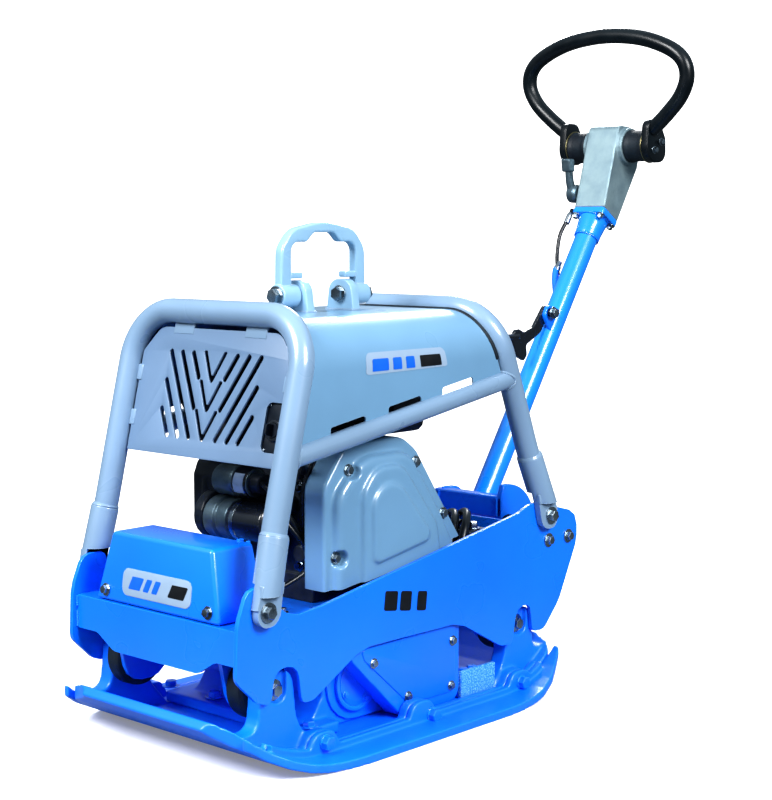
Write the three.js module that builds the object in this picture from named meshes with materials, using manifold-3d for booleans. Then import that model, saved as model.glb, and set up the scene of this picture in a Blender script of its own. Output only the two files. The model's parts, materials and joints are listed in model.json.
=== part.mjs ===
// Reversible vibratory plate compactor: cast base with an exciter, sprung engine frame, drawbar.
// Millimetres. +Z up, ground at Z = 0, origin on the ground under the middle of the base plate.
// -Y is the front (grille), +Y the operator's end, +X the belt side.
import * as THREE from 'three';
import * as BufferGeometryUtils from 'three/addons/utils/BufferGeometryUtils.js';
import Module from 'manifold-3d';

// ---------------------------------------------------------------- driving dimensions
const GAP = 0.3;                    // clearance between neighbouring pieces

const BASE = { halfWidth: 225, halfLength: 430, floor: 17, noseRadius: 275, lip: 19 };
const EXTENSION = { width: 71, thickness: 15, halfLength: 405 };
const RIM = { height: 27, lobeY: [-231, 12, 288], lobeTop: 52, lobeHalf: 46 };  // along each side of the base
const BUFFER = { radius: 47, inner: 136, outer: 172.7, frontY: -308, rearY: 323, z: 130 };
const UPRIGHT = { inner: 173, outer: 205, boltPocket: 12 };

const SHAFT_Z = 94;                 // both exciter shafts
const FRONT_SHAFT_Y = -76;
const REAR_SHAFT_Y = 44;            // belt driven
const EXCITER = { halfWidth: 150, chamber: 64, wall: 11 };
const TIMING_GEAR = { teeth: 24, pitch: 60, tip: 62.5, root: 56.5, x: -124, width: 18 };

const PLATE_INNER = 207;            // inner face of the chassis side plates
const PLATE_OUTER = 215;
const BUMPER_Y = -391;
const DECK = { bottom: 222, top: 230 };

const CRANK = { y: -35, z: 400 };
const CRANKCASE = { left: -88, right: 96 };
const BELT = { from: 168.5, to: 183.5, thickness: 9 };
const CLUTCH_RADIUS = 50;
const EXCITER_PULLEY_RADIUS = 42;

const HOOP = { radius: 21.2, wall: 3.2, bend: 90 };
const FRONT_HOOP = { footY: -352, footZ: 270.6, lean: 0.243, footX: 222, topX: 214, topZ: 732 };
const REAR_HOOP = { footY: 387, footZ: 332.4, lean: -0.396, footX: 220, topX: 209, topZ: 729 };
const RAIL = { radius: 16.85, x: 212, frontY: -239, frontZ: 513, slope: 0.1674 };
const HOOD = { topZ: 727, side: 213, shoulder: 88, sheet: 3 };

const BAIL = { z: 756, halfSpan: 107, legWidth: 26, thickness: 20, height: 130 };

const DRAWBAR_PIVOT = { y: 430, z: 282 };
const DRAWBAR_ANGLE = THREE.MathUtils.degToRad(33.3);   // from the vertical, towards the operator
const DRAWBAR_RADIUS = 24.15;
const FLANGE_DISTANCE = 745;        // drawbar pivot to the head flange
const YOKE = { halfWidth: 88, cheek: 12, radius: 90, beam: 67, spigot: 16 };
const HEAD_AXIS = { y: 896, z: 1050 };
const HEAD_HALF_WIDTH = 41;
const HANDLE_SHAFT_RADIUS = 12;
const BOW_RADIUS = 16;
const BOW_LEAN = -0.14;

const COLOURS = {
  blue: { color: 0x1f86f5, roughness: 0.35, metalness: 0.1 },
  grey: { color: 0xa9c2da, roughness: 0.4, metalness: 0.15 },
  black: { color: 0x14161a, roughness: 0.5, metalness: 0.1 },
  rubber: { color: 0x1b1c1e, roughness: 0.85, metalness: 0.0 },
  steel: { color: 0x9aa0a6, roughness: 0.35, metalness: 0.9 },
  aluminium: { color: 0xa7b3b6, roughness: 0.5, metalness: 0.8 },
  iron: { color: 0x3c4046, roughness: 0.6, metalness: 0.6 },
};

// ---------------------------------------------------------------- geometry helpers
const library = await Module();
library.setup();

function toSolid(geometry) {
  const bare = geometry.index ? geometry.toNonIndexed() : geometry.clone();
  bare.deleteAttribute('normal');
  bare.deleteAttribute('uv');
  const merged = BufferGeometryUtils.mergeVertices(bare, 1e-4);
  return new library.Manifold(new library.Mesh({
    numProp: 3,
    vertProperties: new Float32Array(merged.attributes.position.array),
    triVerts: new Uint32Array(merged.index.array),
  }));
}

function toGeometry(solid) {
  const mesh = solid.getMesh();
  const geometry = new THREE.BufferGeometry();
  geometry.setAttribute('position', new THREE.BufferAttribute(new Float32Array(mesh.vertProperties), 3));
  geometry.setIndex(new THREE.BufferAttribute(new Uint32Array(mesh.triVerts), 1));
  geometry.computeVertexNormals();
  return geometry;
}

function join(...geometries) {
  return toGeometry(geometries.map(toSolid).reduce((whole, piece) => whole.add(piece)));
}

function cut(geometry, ...tools) {
  return toGeometry(tools.map(toSolid).reduce((whole, tool) => whole.subtract(tool), toSolid(geometry)));
}

function keep(geometry, tool) {
  return toGeometry(toSolid(geometry).intersect(toSolid(tool)));
}

// A closed outline whose corners [u, v, radius] are rounded with arcs, stepped by their sweep.
const CORNER_STEP = Math.PI / 6;

function outline(corners, PathType = THREE.Shape, cornerStep = CORNER_STEP) {
  const path = new PathType();
  corners.forEach(([u, v, radius = 0], index) => {
    const before = corners[(index + corners.length - 1) % corners.length];
    const after = corners[(index + 1) % corners.length];
    const inward = new THREE.Vector2(before[0] - u, before[1] - v).normalize();
    const onward = new THREE.Vector2(after[0] - u, after[1] - v).normalize();
    const half = Math.acos(THREE.MathUtils.clamp(inward.dot(onward), -1, 1)) / 2;
    if (radius === 0) {
      if (index === 0) path.moveTo(u, v);
      else path.lineTo(u, v);
      return;
    }
    const legBefore = Math.hypot(before[0] - u, before[1] - v);
    const legAfter = Math.hypot(after[0] - u, after[1] - v);
    const room = 0.48 * Math.min(legBefore, legAfter);
    const reach = Math.min(radius / Math.tan(half), room);
    const bend = reach * Math.tan(half);
    const start = [u + inward.x * reach, v + inward.y * reach];
    const bisector = inward.clone().add(onward).normalize().multiplyScalar(bend / Math.sin(half));
    const centre = [u + bisector.x, v + bisector.y];
    if (index === 0) path.moveTo(...start);
    else path.lineTo(...start);
    const sweep = inward.cross(onward) < 0 ? Math.PI - 2 * half : 2 * half - Math.PI;
    const steps = Math.max(1, Math.round(Math.abs(sweep) / cornerStep));
    const arm = new THREE.Vector2(start[0] - centre[0], start[1] - centre[1]);
    const origin = new THREE.Vector2();
    for (let step = 1; step <= steps; step += 1) {
      const turned = arm.clone().rotateAround(origin, (sweep * step) / steps);
      path.lineTo(centre[0] + turned.x, centre[1] + turned.y);
    }
  });
  path.closePath();
  return path;
}

function circle(u, v, radius, PathType = THREE.Shape) {
  const path = new PathType();
  path.absarc(u, v, radius, 0, 2 * Math.PI, false);
  return path;
}

function extruded(shape, depth, smooth) {
  return new THREE.ExtrudeGeometry(shape, { depth, bevelEnabled: false, curveSegments: smooth });
}

const AXES_YZX = new THREE.Matrix4().set(0, 0, 1, 0, 1, 0, 0, 0, 0, 1, 0, 0, 0, 0, 0, 1);
const AXES_XZY = new THREE.Matrix4().set(1, 0, 0, 0, 0, 0, -1, 0, 0, 1, 0, 0, 0, 0, 0, 1);

// Plates drawn in the (Y, Z), (X, Z) and (X, Y) planes.
function plateX(shape, from, to, smooth = 2) {
  return extruded(shape, to - from, smooth).applyMatrix4(AXES_YZX).translate(from, 0, 0);
}

function plateY(shape, from, to, smooth = 2) {
  return extruded(shape, to - from, smooth).applyMatrix4(AXES_XZY).translate(0, to, 0);
}

function plateZ(shape, from, to, smooth = 2) {
  return extruded(shape, to - from, smooth).translate(0, 0, from);
}

function box(x0, x1, y0, y1, z0, z1) {
  const geometry = new THREE.BoxGeometry(x1 - x0, y1 - y0, z1 - z0);
  return geometry.translate((x0 + x1) / 2, (y0 + y1) / 2, (z0 + z1) / 2);
}

function rodX(radius, x0, x1, y, z, sides = 20) {
  const geometry = new THREE.CylinderGeometry(radius, radius, x1 - x0, sides);
  return geometry.rotateZ(Math.PI / 2).translate((x0 + x1) / 2, y, z);
}

function rodY(radius, y0, y1, x, z, sides = 20) {
  return new THREE.CylinderGeometry(radius, radius, y1 - y0, sides).translate(x, (y0 + y1) / 2, z);
}

function rodZ(radius, z0, z1, x, y, sides = 20) {
  const geometry = new THREE.CylinderGeometry(radius, radius, z1 - z0, sides);
  return geometry.rotateX(Math.PI / 2).translate(x, y, (z0 + z1) / 2);
}

function mirrorX(geometry) {
  const flipped = geometry.index ? geometry.toNonIndexed() : geometry.clone();
  flipped.scale(-1, 1, 1);
  const position = flipped.attributes.position;
  for (let first = 0; first < position.count; first += 3) {
    const a = new THREE.Vector3().fromBufferAttribute(position, first + 1);
    const b = new THREE.Vector3().fromBufferAttribute(position, first + 2);
    position.setXYZ(first + 1, b.x, b.y, b.z);
    position.setXYZ(first + 2, a.x, a.y, a.z);
  }
  flipped.computeVertexNormals();
  return flipped;
}

// A path of straight runs joined by circular bends, stepped only where it bends.
class BentPath extends THREE.Curve {
  constructor(corners, bends, steps = []) {
    super();
    this.stations = [{ point: corners[0], tangent: corners[1].clone().sub(corners[0]).normalize() }];
    for (let index = 1; index < corners.length - 1; index += 1) {
      const [before, corner, after] = corners.slice(index - 1, index + 2);
      this.addBend(before, corner, after, bends[index - 1], steps[index - 1]);
    }
    const last = corners[corners.length - 1];
    const tangent = last.clone().sub(corners[corners.length - 2]).normalize();
    this.stations.push({ point: last, tangent });
  }

  addBend(before, corner, after, radius, steps) {
    const inward = before.clone().sub(corner).normalize();
    const onward = after.clone().sub(corner).normalize();
    const half = inward.angleTo(onward) / 2;
    const centre = inward.clone().add(onward).normalize();
    centre.multiplyScalar(radius / Math.sin(half)).add(corner);
    const start = inward.clone().multiplyScalar(radius / Math.tan(half)).add(corner).sub(centre);
    const forward = inward.clone().negate();
    const sweep = Math.PI - 2 * half;
    for (let step = 0; step <= steps; step += 1) {
      const angle = (sweep * step) / steps;
      const point = start.clone().multiplyScalar(Math.cos(angle));
      point.addScaledVector(forward, radius * Math.sin(angle)).add(centre);
      const tangent = forward.clone().multiplyScalar(Math.cos(angle));
      tangent.addScaledVector(start.clone().normalize(), -Math.sin(angle));
      this.stations.push({ point, tangent: tangent.normalize() });
    }
  }

  station(u) {
    return this.stations[Math.round(u * (this.stations.length - 1))];
  }

  getPointAt(u) {
    return this.station(u).point.clone();
  }

  getTangentAt(u) {
    return this.station(u).tangent.clone();
  }
}

function tube(corners, bends, radius, wall, bendSteps) {
  const section = circle(0, 0, radius);
  if (wall > 0) section.holes.push(circle(0, 0, radius - wall, THREE.Path));
  const path = new BentPath(corners, bends, bendSteps);
  return new THREE.ExtrudeGeometry(section, {
    steps: path.stations.length - 1,
    curveSegments: 6,
    bevelEnabled: false,
    extrudePath: path,
  });
}

function straightRod(radius, from, to, smooth) {
  return new THREE.ExtrudeGeometry(circle(0, 0, radius), {
    steps: 1, curveSegments: smooth, bevelEnabled: false, extrudePath: new BentPath([from, to], [], 0),
  });
}

// Turns a piece built upright about the drawbar pivot into the drawbar's working lean.
function leaned(geometry) {
  geometry.rotateX(-DRAWBAR_ANGLE);
  return geometry.translate(0, DRAWBAR_PIVOT.y, DRAWBAR_PIVOT.z);
}

const root = new THREE.Group();

function addPart(name, geometry, finish) {
  const mesh = new THREE.Mesh(geometry, new THREE.MeshStandardMaterial(COLOURS[finish]));
  mesh.name = name;
  root.add(mesh);
}

// ---------------------------------------------------------------- base: plate and extensions
function noseProfile(inset, thickness) {
  const reach = BASE.noseRadius * Math.sin(Math.PI / 4);
  const bend = BASE.halfLength - inset - reach;
  const centreZ = BASE.noseRadius;
  const inner = BASE.noseRadius - thickness;
  const shape = new THREE.Shape();
  shape.moveTo(-bend, 0);
  shape.lineTo(bend, 0);
  shape.absarc(bend, centreZ, BASE.noseRadius, -Math.PI / 2, -Math.PI / 4, false);
  shape.absarc(bend, centreZ, inner, -Math.PI / 4, -Math.PI / 2, true);
  shape.absarc(-bend, centreZ, inner, -Math.PI / 2, -Math.PI * 0.75, true);
  shape.absarc(-bend, centreZ, BASE.noseRadius, -Math.PI * 0.75, -Math.PI / 2, false);
  return shape;
}

function floorUnderside(y) {
  const bend = BASE.halfLength - BASE.noseRadius * Math.sin(Math.PI / 4);
  const past = Math.max(0, Math.abs(y) - bend);
  return BASE.noseRadius - Math.sqrt(BASE.noseRadius ** 2 - past ** 2);
}

function upright(side, y) {
  const reach = 86;
  const front = floorUnderside(y - reach) + 2;
  const rear = floorUnderside(y + reach) + 2;
  const shape = outline([
    [y - reach, front, 0], [y + reach, rear, 0], [y + reach, rear + 18, 0], [y + 44, 70, 40],
    [y + 33, BUFFER.z + 34, 30], [y - 33, BUFFER.z + 34, 30], [y - 44, 70, 40], [y - reach, front + 18, 0],
  ]);
  const post = plateX(shape, UPRIGHT.inner, UPRIGHT.outer);
  const pocketFrom = UPRIGHT.outer - UPRIGHT.boltPocket;
  const recess = outline([
    [y - 20, BUFFER.z - 20, 18], [y + 20, BUFFER.z - 20, 18], [y + 20, 200, 0], [y - 20, 200, 0],
  ]);
  const pocket = plateX(recess, pocketFrom, UPRIGHT.outer + 5);
  const carved = cut(post, pocket);
  return side > 0 ? carved : mirrorX(carved);
}

// Raised side rim with a lobe over each extension bolt; the casting and the extension share it.
function sideRim(x0, x1, lobeX0) {
  const rim = keep(
    plateX(noseProfile(0, RIM.height), x0, x1, 3),
    box(x0 - 1, x1 + 1, -352, 352, -1, 200),
  );
  const lobes = RIM.lobeY.map((y) => {
    const base = floorUnderside(y) + 5;
    const half = RIM.lobeHalf;
    const top = RIM.lobeTop;
    const shape = outline([[y - half, base, 0], [y + half, base, 0], [y + 22, top, 20], [y - 22, top, 20]]);
    return plateX(shape, lobeX0, x1);
  });
  return [rim, ...lobes];
}

function basePlate() {
  const body = plateX(noseProfile(0, BASE.lip), -BASE.halfWidth - 10, BASE.halfWidth + 10, 3);
  const long = BASE.halfLength + 2;
  const wide = BASE.halfWidth;
  const plan = outline([
    [-wide, -396, 25], [-158, -long + 10, 3], [-152, -long, 3],
    [152, -long, 3], [158, -long + 10, 3], [wide, -396, 25],
    [wide, 396, 25], [158, long - 10, 3], [152, long, 3],
    [-152, long, 3], [-158, long - 10, 3], [-wide, 396, 25],
  ]);
  const plate = keep(body, plateZ(plan, -1, 200, 2));
  const uprights = [1, -1].flatMap((side) => [upright(side, BUFFER.frontY), upright(side, BUFFER.rearY)]);
  const rims = sideRim(wide - 14, wide, wide - 19);
  return join(plate, ...uprights, ...rims, ...rims.map(mirrorX));
}

// Side extension: a foot plate and an upright web bolted against the rim of the casting.
function extensionPlate() {
  const inner = BASE.halfWidth + GAP;
  const outer = BASE.halfWidth + EXTENSION.width;
  const reach = EXTENSION.halfLength;
  const body = plateX(noseProfile(0, EXTENSION.thickness), inner, outer, 3);
  const plan = outline([
    [inner, -reach, 0], [inner + 12, -reach, 8], [outer - 16, -322, 150], [outer, -200, 150],
    [outer, 200, 150], [outer - 16, 322, 150], [inner + 12, reach, 8], [inner, reach, 0],
  ]);
  const foot = keep(body, plateZ(plan, -1, 200, 2));
  return join(foot, ...sideRim(inner, inner + 12, inner));
}

// Rubber drum about an X axis, slightly waisted between its two end faces.
function waistedDrum(radius, waist, x0, x1, y, z) {
  const third = (x1 - x0) / 3;
  const profile = [
    [0, x0], [radius, x0], [waist, x0 + third], [waist, x1 - third], [radius, x1], [0, x1],
  ];
  const points = profile.map(([r, x]) => new THREE.Vector2(r, x));
  return new THREE.LatheGeometry(points, 20).rotateZ(-Math.PI / 2).translate(0, y, z);
}

function buffer(side, y) {
  const drum = waistedDrum(BUFFER.radius, BUFFER.radius - 3, BUFFER.inner, BUFFER.outer, y, BUFFER.z);
  return side > 0 ? drum : mirrorX(drum);
}

addPart('base_plate', basePlate(), 'blue');
addPart('extension_plate_right', extensionPlate(), 'blue');
addPart('extension_plate_left', mirrorX(extensionPlate()), 'blue');
addPart('buffer_front_right', buffer(1, BUFFER.frontY), 'rubber');
addPart('buffer_front_left', buffer(-1, BUFFER.frontY), 'rubber');
addPart('buffer_rear_right', buffer(1, BUFFER.rearY), 'rubber');
addPart('buffer_rear_left', buffer(-1, BUFFER.rearY), 'rubber');

// ---------------------------------------------------------------- base: exciter
function capsule(radius, PathType = THREE.Shape) {
  const path = new PathType();
  path.absarc(REAR_SHAFT_Y, SHAFT_Z, radius, -Math.PI / 2, Math.PI / 2, false);
  path.absarc(FRONT_SHAFT_Y, SHAFT_Z, radius, Math.PI / 2, Math.PI * 1.5, false);
  path.closePath();
  return path;
}

function exciterHousing() {
  const { halfWidth, chamber, wall } = EXCITER;
  const under = BASE.floor + 2 + GAP;
  const front = FRONT_SHAFT_Y - chamber - wall;
  const rear = REAR_SHAFT_Y + chamber + wall;
  const top = SHAFT_Z + chamber + wall;
  const block = plateX(outline([
    [front, under, 0], [rear, under, 0], [rear, top, 50], [front, top, 50],
  ]), -halfWidth, halfWidth);
  const frontRamp = plateX(outline([
    [front - 30, under, 0], [front + 20, under, 0], [front + 20, 90, 0], [front - 2, 76, 30],
    [front - 18, 50, 12], [front - 30, 40, 6],
  ]), -halfWidth, halfWidth);
  const frontFoot = box(-halfWidth - 32, halfWidth + 32, front - 70, front + 10, under, 40);
  const rearFoot = plateX(outline([
    [rear - 20, under, 0], [rear + 110, under, 4], [rear + 110, 52, 6], [rear + 18, 54, 12],
    [rear + 2, 72, 30], [rear - 20, 78, 0],
  ]), -halfWidth, halfWidth);
  const pad = box(halfWidth - 10, halfWidth + 48, rear + 35, rear + 110, under, 54);
  const hollow = plateX(capsule(chamber), -halfWidth - 1, halfWidth + 1, 5);
  const recess = box(halfWidth + GAP / 2, halfWidth + 12, front - 1, rear + 1, 52, 200);
  return cut(join(block, frontRamp, frontFoot, rearFoot, pad, mirrorX(pad)), hollow, recess, mirrorX(recess));
}

function exciterCover(side) {
  const inner = EXCITER.halfWidth + GAP;
  const shape = capsule(EXCITER.chamber + EXCITER.wall - 6);
  const plate = plateX(shape, inner, inner + 5, 5);
  const boss = rodX(50, inner + 4, inner + 11, FRONT_SHAFT_Y, SHAFT_Z - 2, 24);
  const spigots = [FRONT_SHAFT_Y, REAR_SHAFT_Y].map((y) => {
    const ring = circle(y, SHAFT_Z, 36);
    return plateX(ring, inner - 14, inner + 1, 5);
  });
  const bores = [FRONT_SHAFT_Y, REAR_SHAFT_Y].map((y) => {
    const through = side > 0 && y === REAR_SHAFT_Y;
    return rodX(15.4, inner - 20, through ? inner + 20 : inner + 2, y, SHAFT_Z, 16);
  });
  const cover = cut(join(plate, boss, ...spigots), ...bores);
  return side > 0 ? cover : mirrorX(cover);
}

function eccentricShaft(y, reach) {
  const shaft = rodX(15, -EXCITER.halfWidth - 1, reach, y, SHAFT_Z, 16);
  const weight = new THREE.Shape();
  weight.absarc(y, SHAFT_Z, 50, -Math.PI * 0.95, -Math.PI * 0.05, false);
  weight.absarc(y, SHAFT_Z, 20, -Math.PI * 0.05, -Math.PI * 0.95, false);
  weight.closePath();
  const hub = rodX(21, -114, 114, y, SHAFT_Z, 16);
  return join(shaft, hub, plateX(weight, -100, 100, 5));
}

function timingGear(y, phase) {
  const shape = new THREE.Shape();
  const pitch = (2 * Math.PI) / TIMING_GEAR.teeth;
  const at = (radius, angle) => [y + radius * Math.cos(angle), SHAFT_Z + radius * Math.sin(angle)];
  for (let tooth = 0; tooth < TIMING_GEAR.teeth; tooth += 1) {
    const middle = (tooth + phase) * pitch;
    const flank = [
      at(TIMING_GEAR.root, middle - pitch * 0.24),
      at(TIMING_GEAR.tip, middle - pitch * 0.11),
      at(TIMING_GEAR.tip, middle + pitch * 0.11),
      at(TIMING_GEAR.root, middle + pitch * 0.24),
    ];
    flank.forEach((point, index) => (tooth + index === 0 ? shape.moveTo(...point) : shape.lineTo(...point)));
  }
  shape.closePath();
  shape.holes.push(circle(y, SHAFT_Z, 15 + GAP, THREE.Path));
  return plateX(shape, TIMING_GEAR.x - TIMING_GEAR.width / 2, TIMING_GEAR.x + TIMING_GEAR.width / 2, 8);
}

function grooved(radius, bore, x0, x1, y, z) {
  const shape = circle(y, z, radius);
  shape.holes.push(circle(y, z, bore, THREE.Path));
  const disc = plateX(shape, x0, x1, 10);
  const groove = circle(y, z, radius + 5);
  groove.holes.push(circle(y, z, radius - BELT.thickness, THREE.Path));
  return cut(disc, plateX(groove, BELT.from - 0.4, BELT.to + 0.4, 10));
}

function lowerBeltCover() {
  const front = (inset) => outline([
    [-134 + inset, 212, 0], [-134 + inset, 144 + inset * 0.2, 8], [-6 + inset * 0.3, 21 + inset, 10],
    [146 - inset, 21 + inset, 22], [146 - inset, 212, 0],
  ]);
  const shell = plateX(front(0), 162, 204);
  const hollow = plateX(front(3), 158, 201).translate(0, 0, 3);
  return cut(shell, hollow);
}

addPart('exciter_housing', exciterHousing(), 'blue');
addPart('exciter_cover_right', exciterCover(1), 'blue');
addPart('exciter_cover_left', exciterCover(-1), 'blue');
addPart('eccentric_shaft_front', eccentricShaft(FRONT_SHAFT_Y, EXCITER.halfWidth + 1), 'steel');
addPart('eccentric_shaft_rear', eccentricShaft(REAR_SHAFT_Y, 190), 'steel');
addPart('timing_gear_front', timingGear(FRONT_SHAFT_Y, 0), 'steel');
addPart('timing_gear_rear', timingGear(REAR_SHAFT_Y, 0.5), 'steel');
addPart(
  'exciter_pulley',
  grooved(EXCITER_PULLEY_RADIUS + BELT.thickness, 15 + GAP, 164.5, 187.5, REAR_SHAFT_Y, SHAFT_Z),
  'iron',
);
addPart('lower_belt_cover', lowerBeltCover(), 'blue');

// ---------------------------------------------------------------- chassis
function sidePlate() {
  const shape = outline([
    [-381, 308, 22], [-403, 255, 60], [-407, 165, 20], [-362, 122, 22], [-331, 112, 12],
    [-324, 168, 24], [-272, 170, 26], [-262, 101, 12], [-236, 102, 22], [-118, 167, 70],
    [135, 166, 70], [254, 102, 24], [288, 98, 12], [302, 165, 22], [342, 168, 16], [350, 112, 12],
    [385, 110, 24], [433, 160, 60], [489, 270, 40], [488, 326, 34], [350, 362, 40],
    [306, 345, 60], [-215, 256, 80], [-284, 250, 40], [-322, 276, 30], [-334, 312, 18],
  ]);
  return plateX(shape, PLATE_INNER, PLATE_OUTER);
}

// Front cross plate between the side plates, with a folded shelf at its top.
function bumperPlate() {
  const half = PLATE_INNER - GAP;
  const shape = outline([
    [-half, 184, 4], [-152, 184, 16], [-108, 158, 16], [108, 158, 16], [152, 184, 16],
    [half, 184, 4], [half, 242, 4], [-half, 242, 4],
  ]);
  const face = plateY(shape, BUMPER_Y - 4, BUMPER_Y + 4);
  const shelf = box(-half, half, BUMPER_Y + 3, BUMPER_Y + 40, 234, 242);
  return join(face, shelf);
}

function deckPlate() {
  const half = PLATE_INNER - GAP;
  const shape = outline([
    [-half, BUMPER_Y + 5, 0], [half, BUMPER_Y + 5, 0], [half, 372, 0], [-half, 372, 0],
  ]);
  shape.holes.push(outline([
    [158, -142, 6], [158, 154, 6], [PLATE_INNER - 2, 154, 6], [PLATE_INNER - 2, -142, 6],
  ], THREE.Path));
  shape.holes.push(outline([[-70, 120, 20], [-70, 300, 20], [70, 300, 20], [70, 120, 20]], THREE.Path));
  const deck = plateZ(shape, DECK.bottom, DECK.top);
  const hangers = [1, -1].flatMap((side) => [BUFFER.frontY, BUFFER.rearY].map((y) => {
    const ear = plateX(outline([
      [y - 70, DECK.bottom + 2, 0], [y - 40, BUFFER.z - 40, 38], [y + 40, BUFFER.z - 40, 38],
      [y + 70, DECK.bottom + 2, 0],
    ]), BUFFER.inner - GAP - 9, BUFFER.inner - GAP);
    return side > 0 ? ear : mirrorX(ear);
  }));
  const rearWall = box(-half, half, 348, 356, DECK.top - 40, 318);
  return join(deck, rearWall, ...hangers);
}

function drawbarBearing() {
  const { y, z } = DRAWBAR_PIVOT;
  const face = PLATE_INNER - GAP;
  const flange = plateX(outline([
    [y - 46, z - 24, 20], [y + 46, z - 24, 20], [y + 46, z + 24, 20], [y - 46, z + 24, 20],
  ]), face - 8, face);
  const drum = rodX(31, YOKE.halfWidth + 1, face - 7, y, z, 20);
  const spigot = rodX(YOKE.spigot, YOKE.halfWidth - YOKE.cheek - 4, YOKE.halfWidth + 2, y, z, 16);
  return join(flange, drum, spigot);
}

addPart('side_plate_right', sidePlate(), 'blue');
addPart('side_plate_left', mirrorX(sidePlate()), 'blue');
addPart('bumper_plate', bumperPlate(), 'blue');
addPart('deck_plate', deckPlate(), 'blue');
addPart('drawbar_bearing_right', drawbarBearing(), 'rubber');
addPart('drawbar_bearing_left', mirrorX(drawbarBearing()), 'rubber');

// ---------------------------------------------------------------- protective frame
function hoopY(hoop, z) {
  return hoop.footY + hoop.lean * (z - hoop.footZ);
}

function hoopPoint(hoop, x, z) {
  return new THREE.Vector3(x, hoopY(hoop, z), z);
}

function hoopBar(hoop) {
  const kneeZ = hoop.footZ + 130;
  const corners = [
    hoopPoint(hoop, -hoop.footX, hoop.footZ), hoopPoint(hoop, -hoop.topX, kneeZ),
    hoopPoint(hoop, -hoop.topX, hoop.topZ), hoopPoint(hoop, hoop.topX, hoop.topZ),
    hoopPoint(hoop, hoop.topX, kneeZ), hoopPoint(hoop, hoop.footX, hoop.footZ),
  ];
  const bends = [160, HOOP.bend, HOOP.bend, 160];
  const bar = tube(corners, bends, HOOP.radius, HOOP.wall, [1, 4, 4, 1]);
  const foot = hoopFoot(hoop);
  const cuts = hoopFootCuts(hoop);
  return cut(join(bar, foot, mirrorX(foot)), ...cuts, ...cuts.map(mirrorX));
}

// Foot sleeve over the end of a leg, with a round eye for the foot bolt.
function hoopFoot(hoop) {
  const radius = HOOP.radius + 3.4;
  const low = hoopPoint(hoop, hoop.footX, hoop.footZ);
  const high = hoopPoint(hoop, hoop.topX + 2, hoop.footZ + 116);
  const sleeve = straightRod(radius, low, high, 7);
  const reach = 44;
  const tip = hoopY(hoop, low.z + reach) - low.y;
  const tongue = plateX(outline([
    [low.y - radius, low.z - radius, radius], [low.y + radius, low.z - radius, radius],
    [low.y + radius + tip, low.z + reach, 0], [low.y - radius + tip, low.z + reach, 0],
  ]), PLATE_OUTER, hoop.footX + 12);
  return join(sleeve, tongue);
}

// Cuts in a foot: the slot for the side plate, the flat under the bolt head and the drain hole.
function hoopFootCuts(hoop) {
  const y = hoop.footY;
  const z = hoop.footZ;
  const slot = box(PLATE_INNER - 20, PLATE_OUTER + GAP, y - 90, y + 90, z - 60, z + 46);
  const flat = box(hoop.footX + 9, hoop.footX + 60, y - 60, y + 60, z - 60, z + 26);
  const drain = straightRod(5, hoopPoint(hoop, 223, z - 40), hoopPoint(hoop, hoop.topX, z + 140), 3);
  return [slot, flat, drain];
}

function railZ(y) {
  return RAIL.frontZ + RAIL.slope * (y - RAIL.frontY);
}

function hoodRail() {
  const start = hoopY(FRONT_HOOP, 508);
  const end = hoopY(REAR_HOOP, 600);
  const bar = tube([
    new THREE.Vector3(RAIL.x, start, railZ(start)), new THREE.Vector3(RAIL.x, end, railZ(end)),
  ], [], RAIL.radius, 3);
  const legs = [FRONT_HOOP, REAR_HOOP].map((hoop) => {
    const from = hoopPoint(hoop, hoop.topX, 440);
    const to = hoopPoint(hoop, hoop.topX, 660);
    return straightRod(HOOP.radius + 1, from, to, 8);
  });
  const coped = toSolid(cut(bar, ...legs)).decompose();
  return toGeometry(coped.reduce((best, piece) => (piece.volume() > best.volume() ? piece : best)));
}

// Lays a piece drawn upright about Y = 0, Z = 0 into the leaning plane of the front hoop at a height.
function onGrillePlane(geometry, height) {
  geometry.rotateX(-Math.atan(FRONT_HOOP.lean));
  return geometry.translate(0, hoopY(FRONT_HOOP, height) + 6, height);
}

// Chevron slots: sloping bars that run down towards the middle column.
function grilleSlots() {
  const slope = 0.57;
  const top = 665;
  const bottom = 517;
  const edge = 116;
  const column = 31;
  const rows = [0, 1, 2].map((row) => [edge - 29 * row, top]);
  const sides = [1, 2].map((row) => [edge + 1, top - 48.5 * row]);
  const slots = [...rows, ...sides].map(([x, z]) => {
    const fall = Math.min((x - column) / slope, z - bottom);
    return [[x, z], [x - slope * fall, z - fall]];
  });
  return slots.flatMap(([start, end]) => [1, -1].map((side) => slot(start, end, side)));
}

function slot([x0, z0], [x1, z1], side) {
  const along = new THREE.Vector2(x1 - x0, z1 - z0);
  const across = along.clone().normalize().multiplyScalar(5.2);
  const u = -across.y;
  const v = across.x;
  return outline([
    [side * (x0 + u), z0 + v, 4.8], [side * (x0 - u), z0 - v, 4.8],
    [side * (x1 - u), z1 - v, 4.8], [side * (x1 + u), z1 + v, 4.8],
  ], THREE.Path, Math.PI / 4);
}

function chevron(apexZ) {
  const rise = 49;
  const reach = 26;
  const half = 4.6;
  return outline([
    [-reach - half, apexZ + rise + 2, 3], [-reach + half, apexZ + rise + 2, 3], [0, apexZ + 8, 2],
    [reach - half, apexZ + rise + 2, 3], [reach + half, apexZ + rise + 2, 3], [0, apexZ - 9, 6],
  ], THREE.Path, Math.PI / 2);
}

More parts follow.
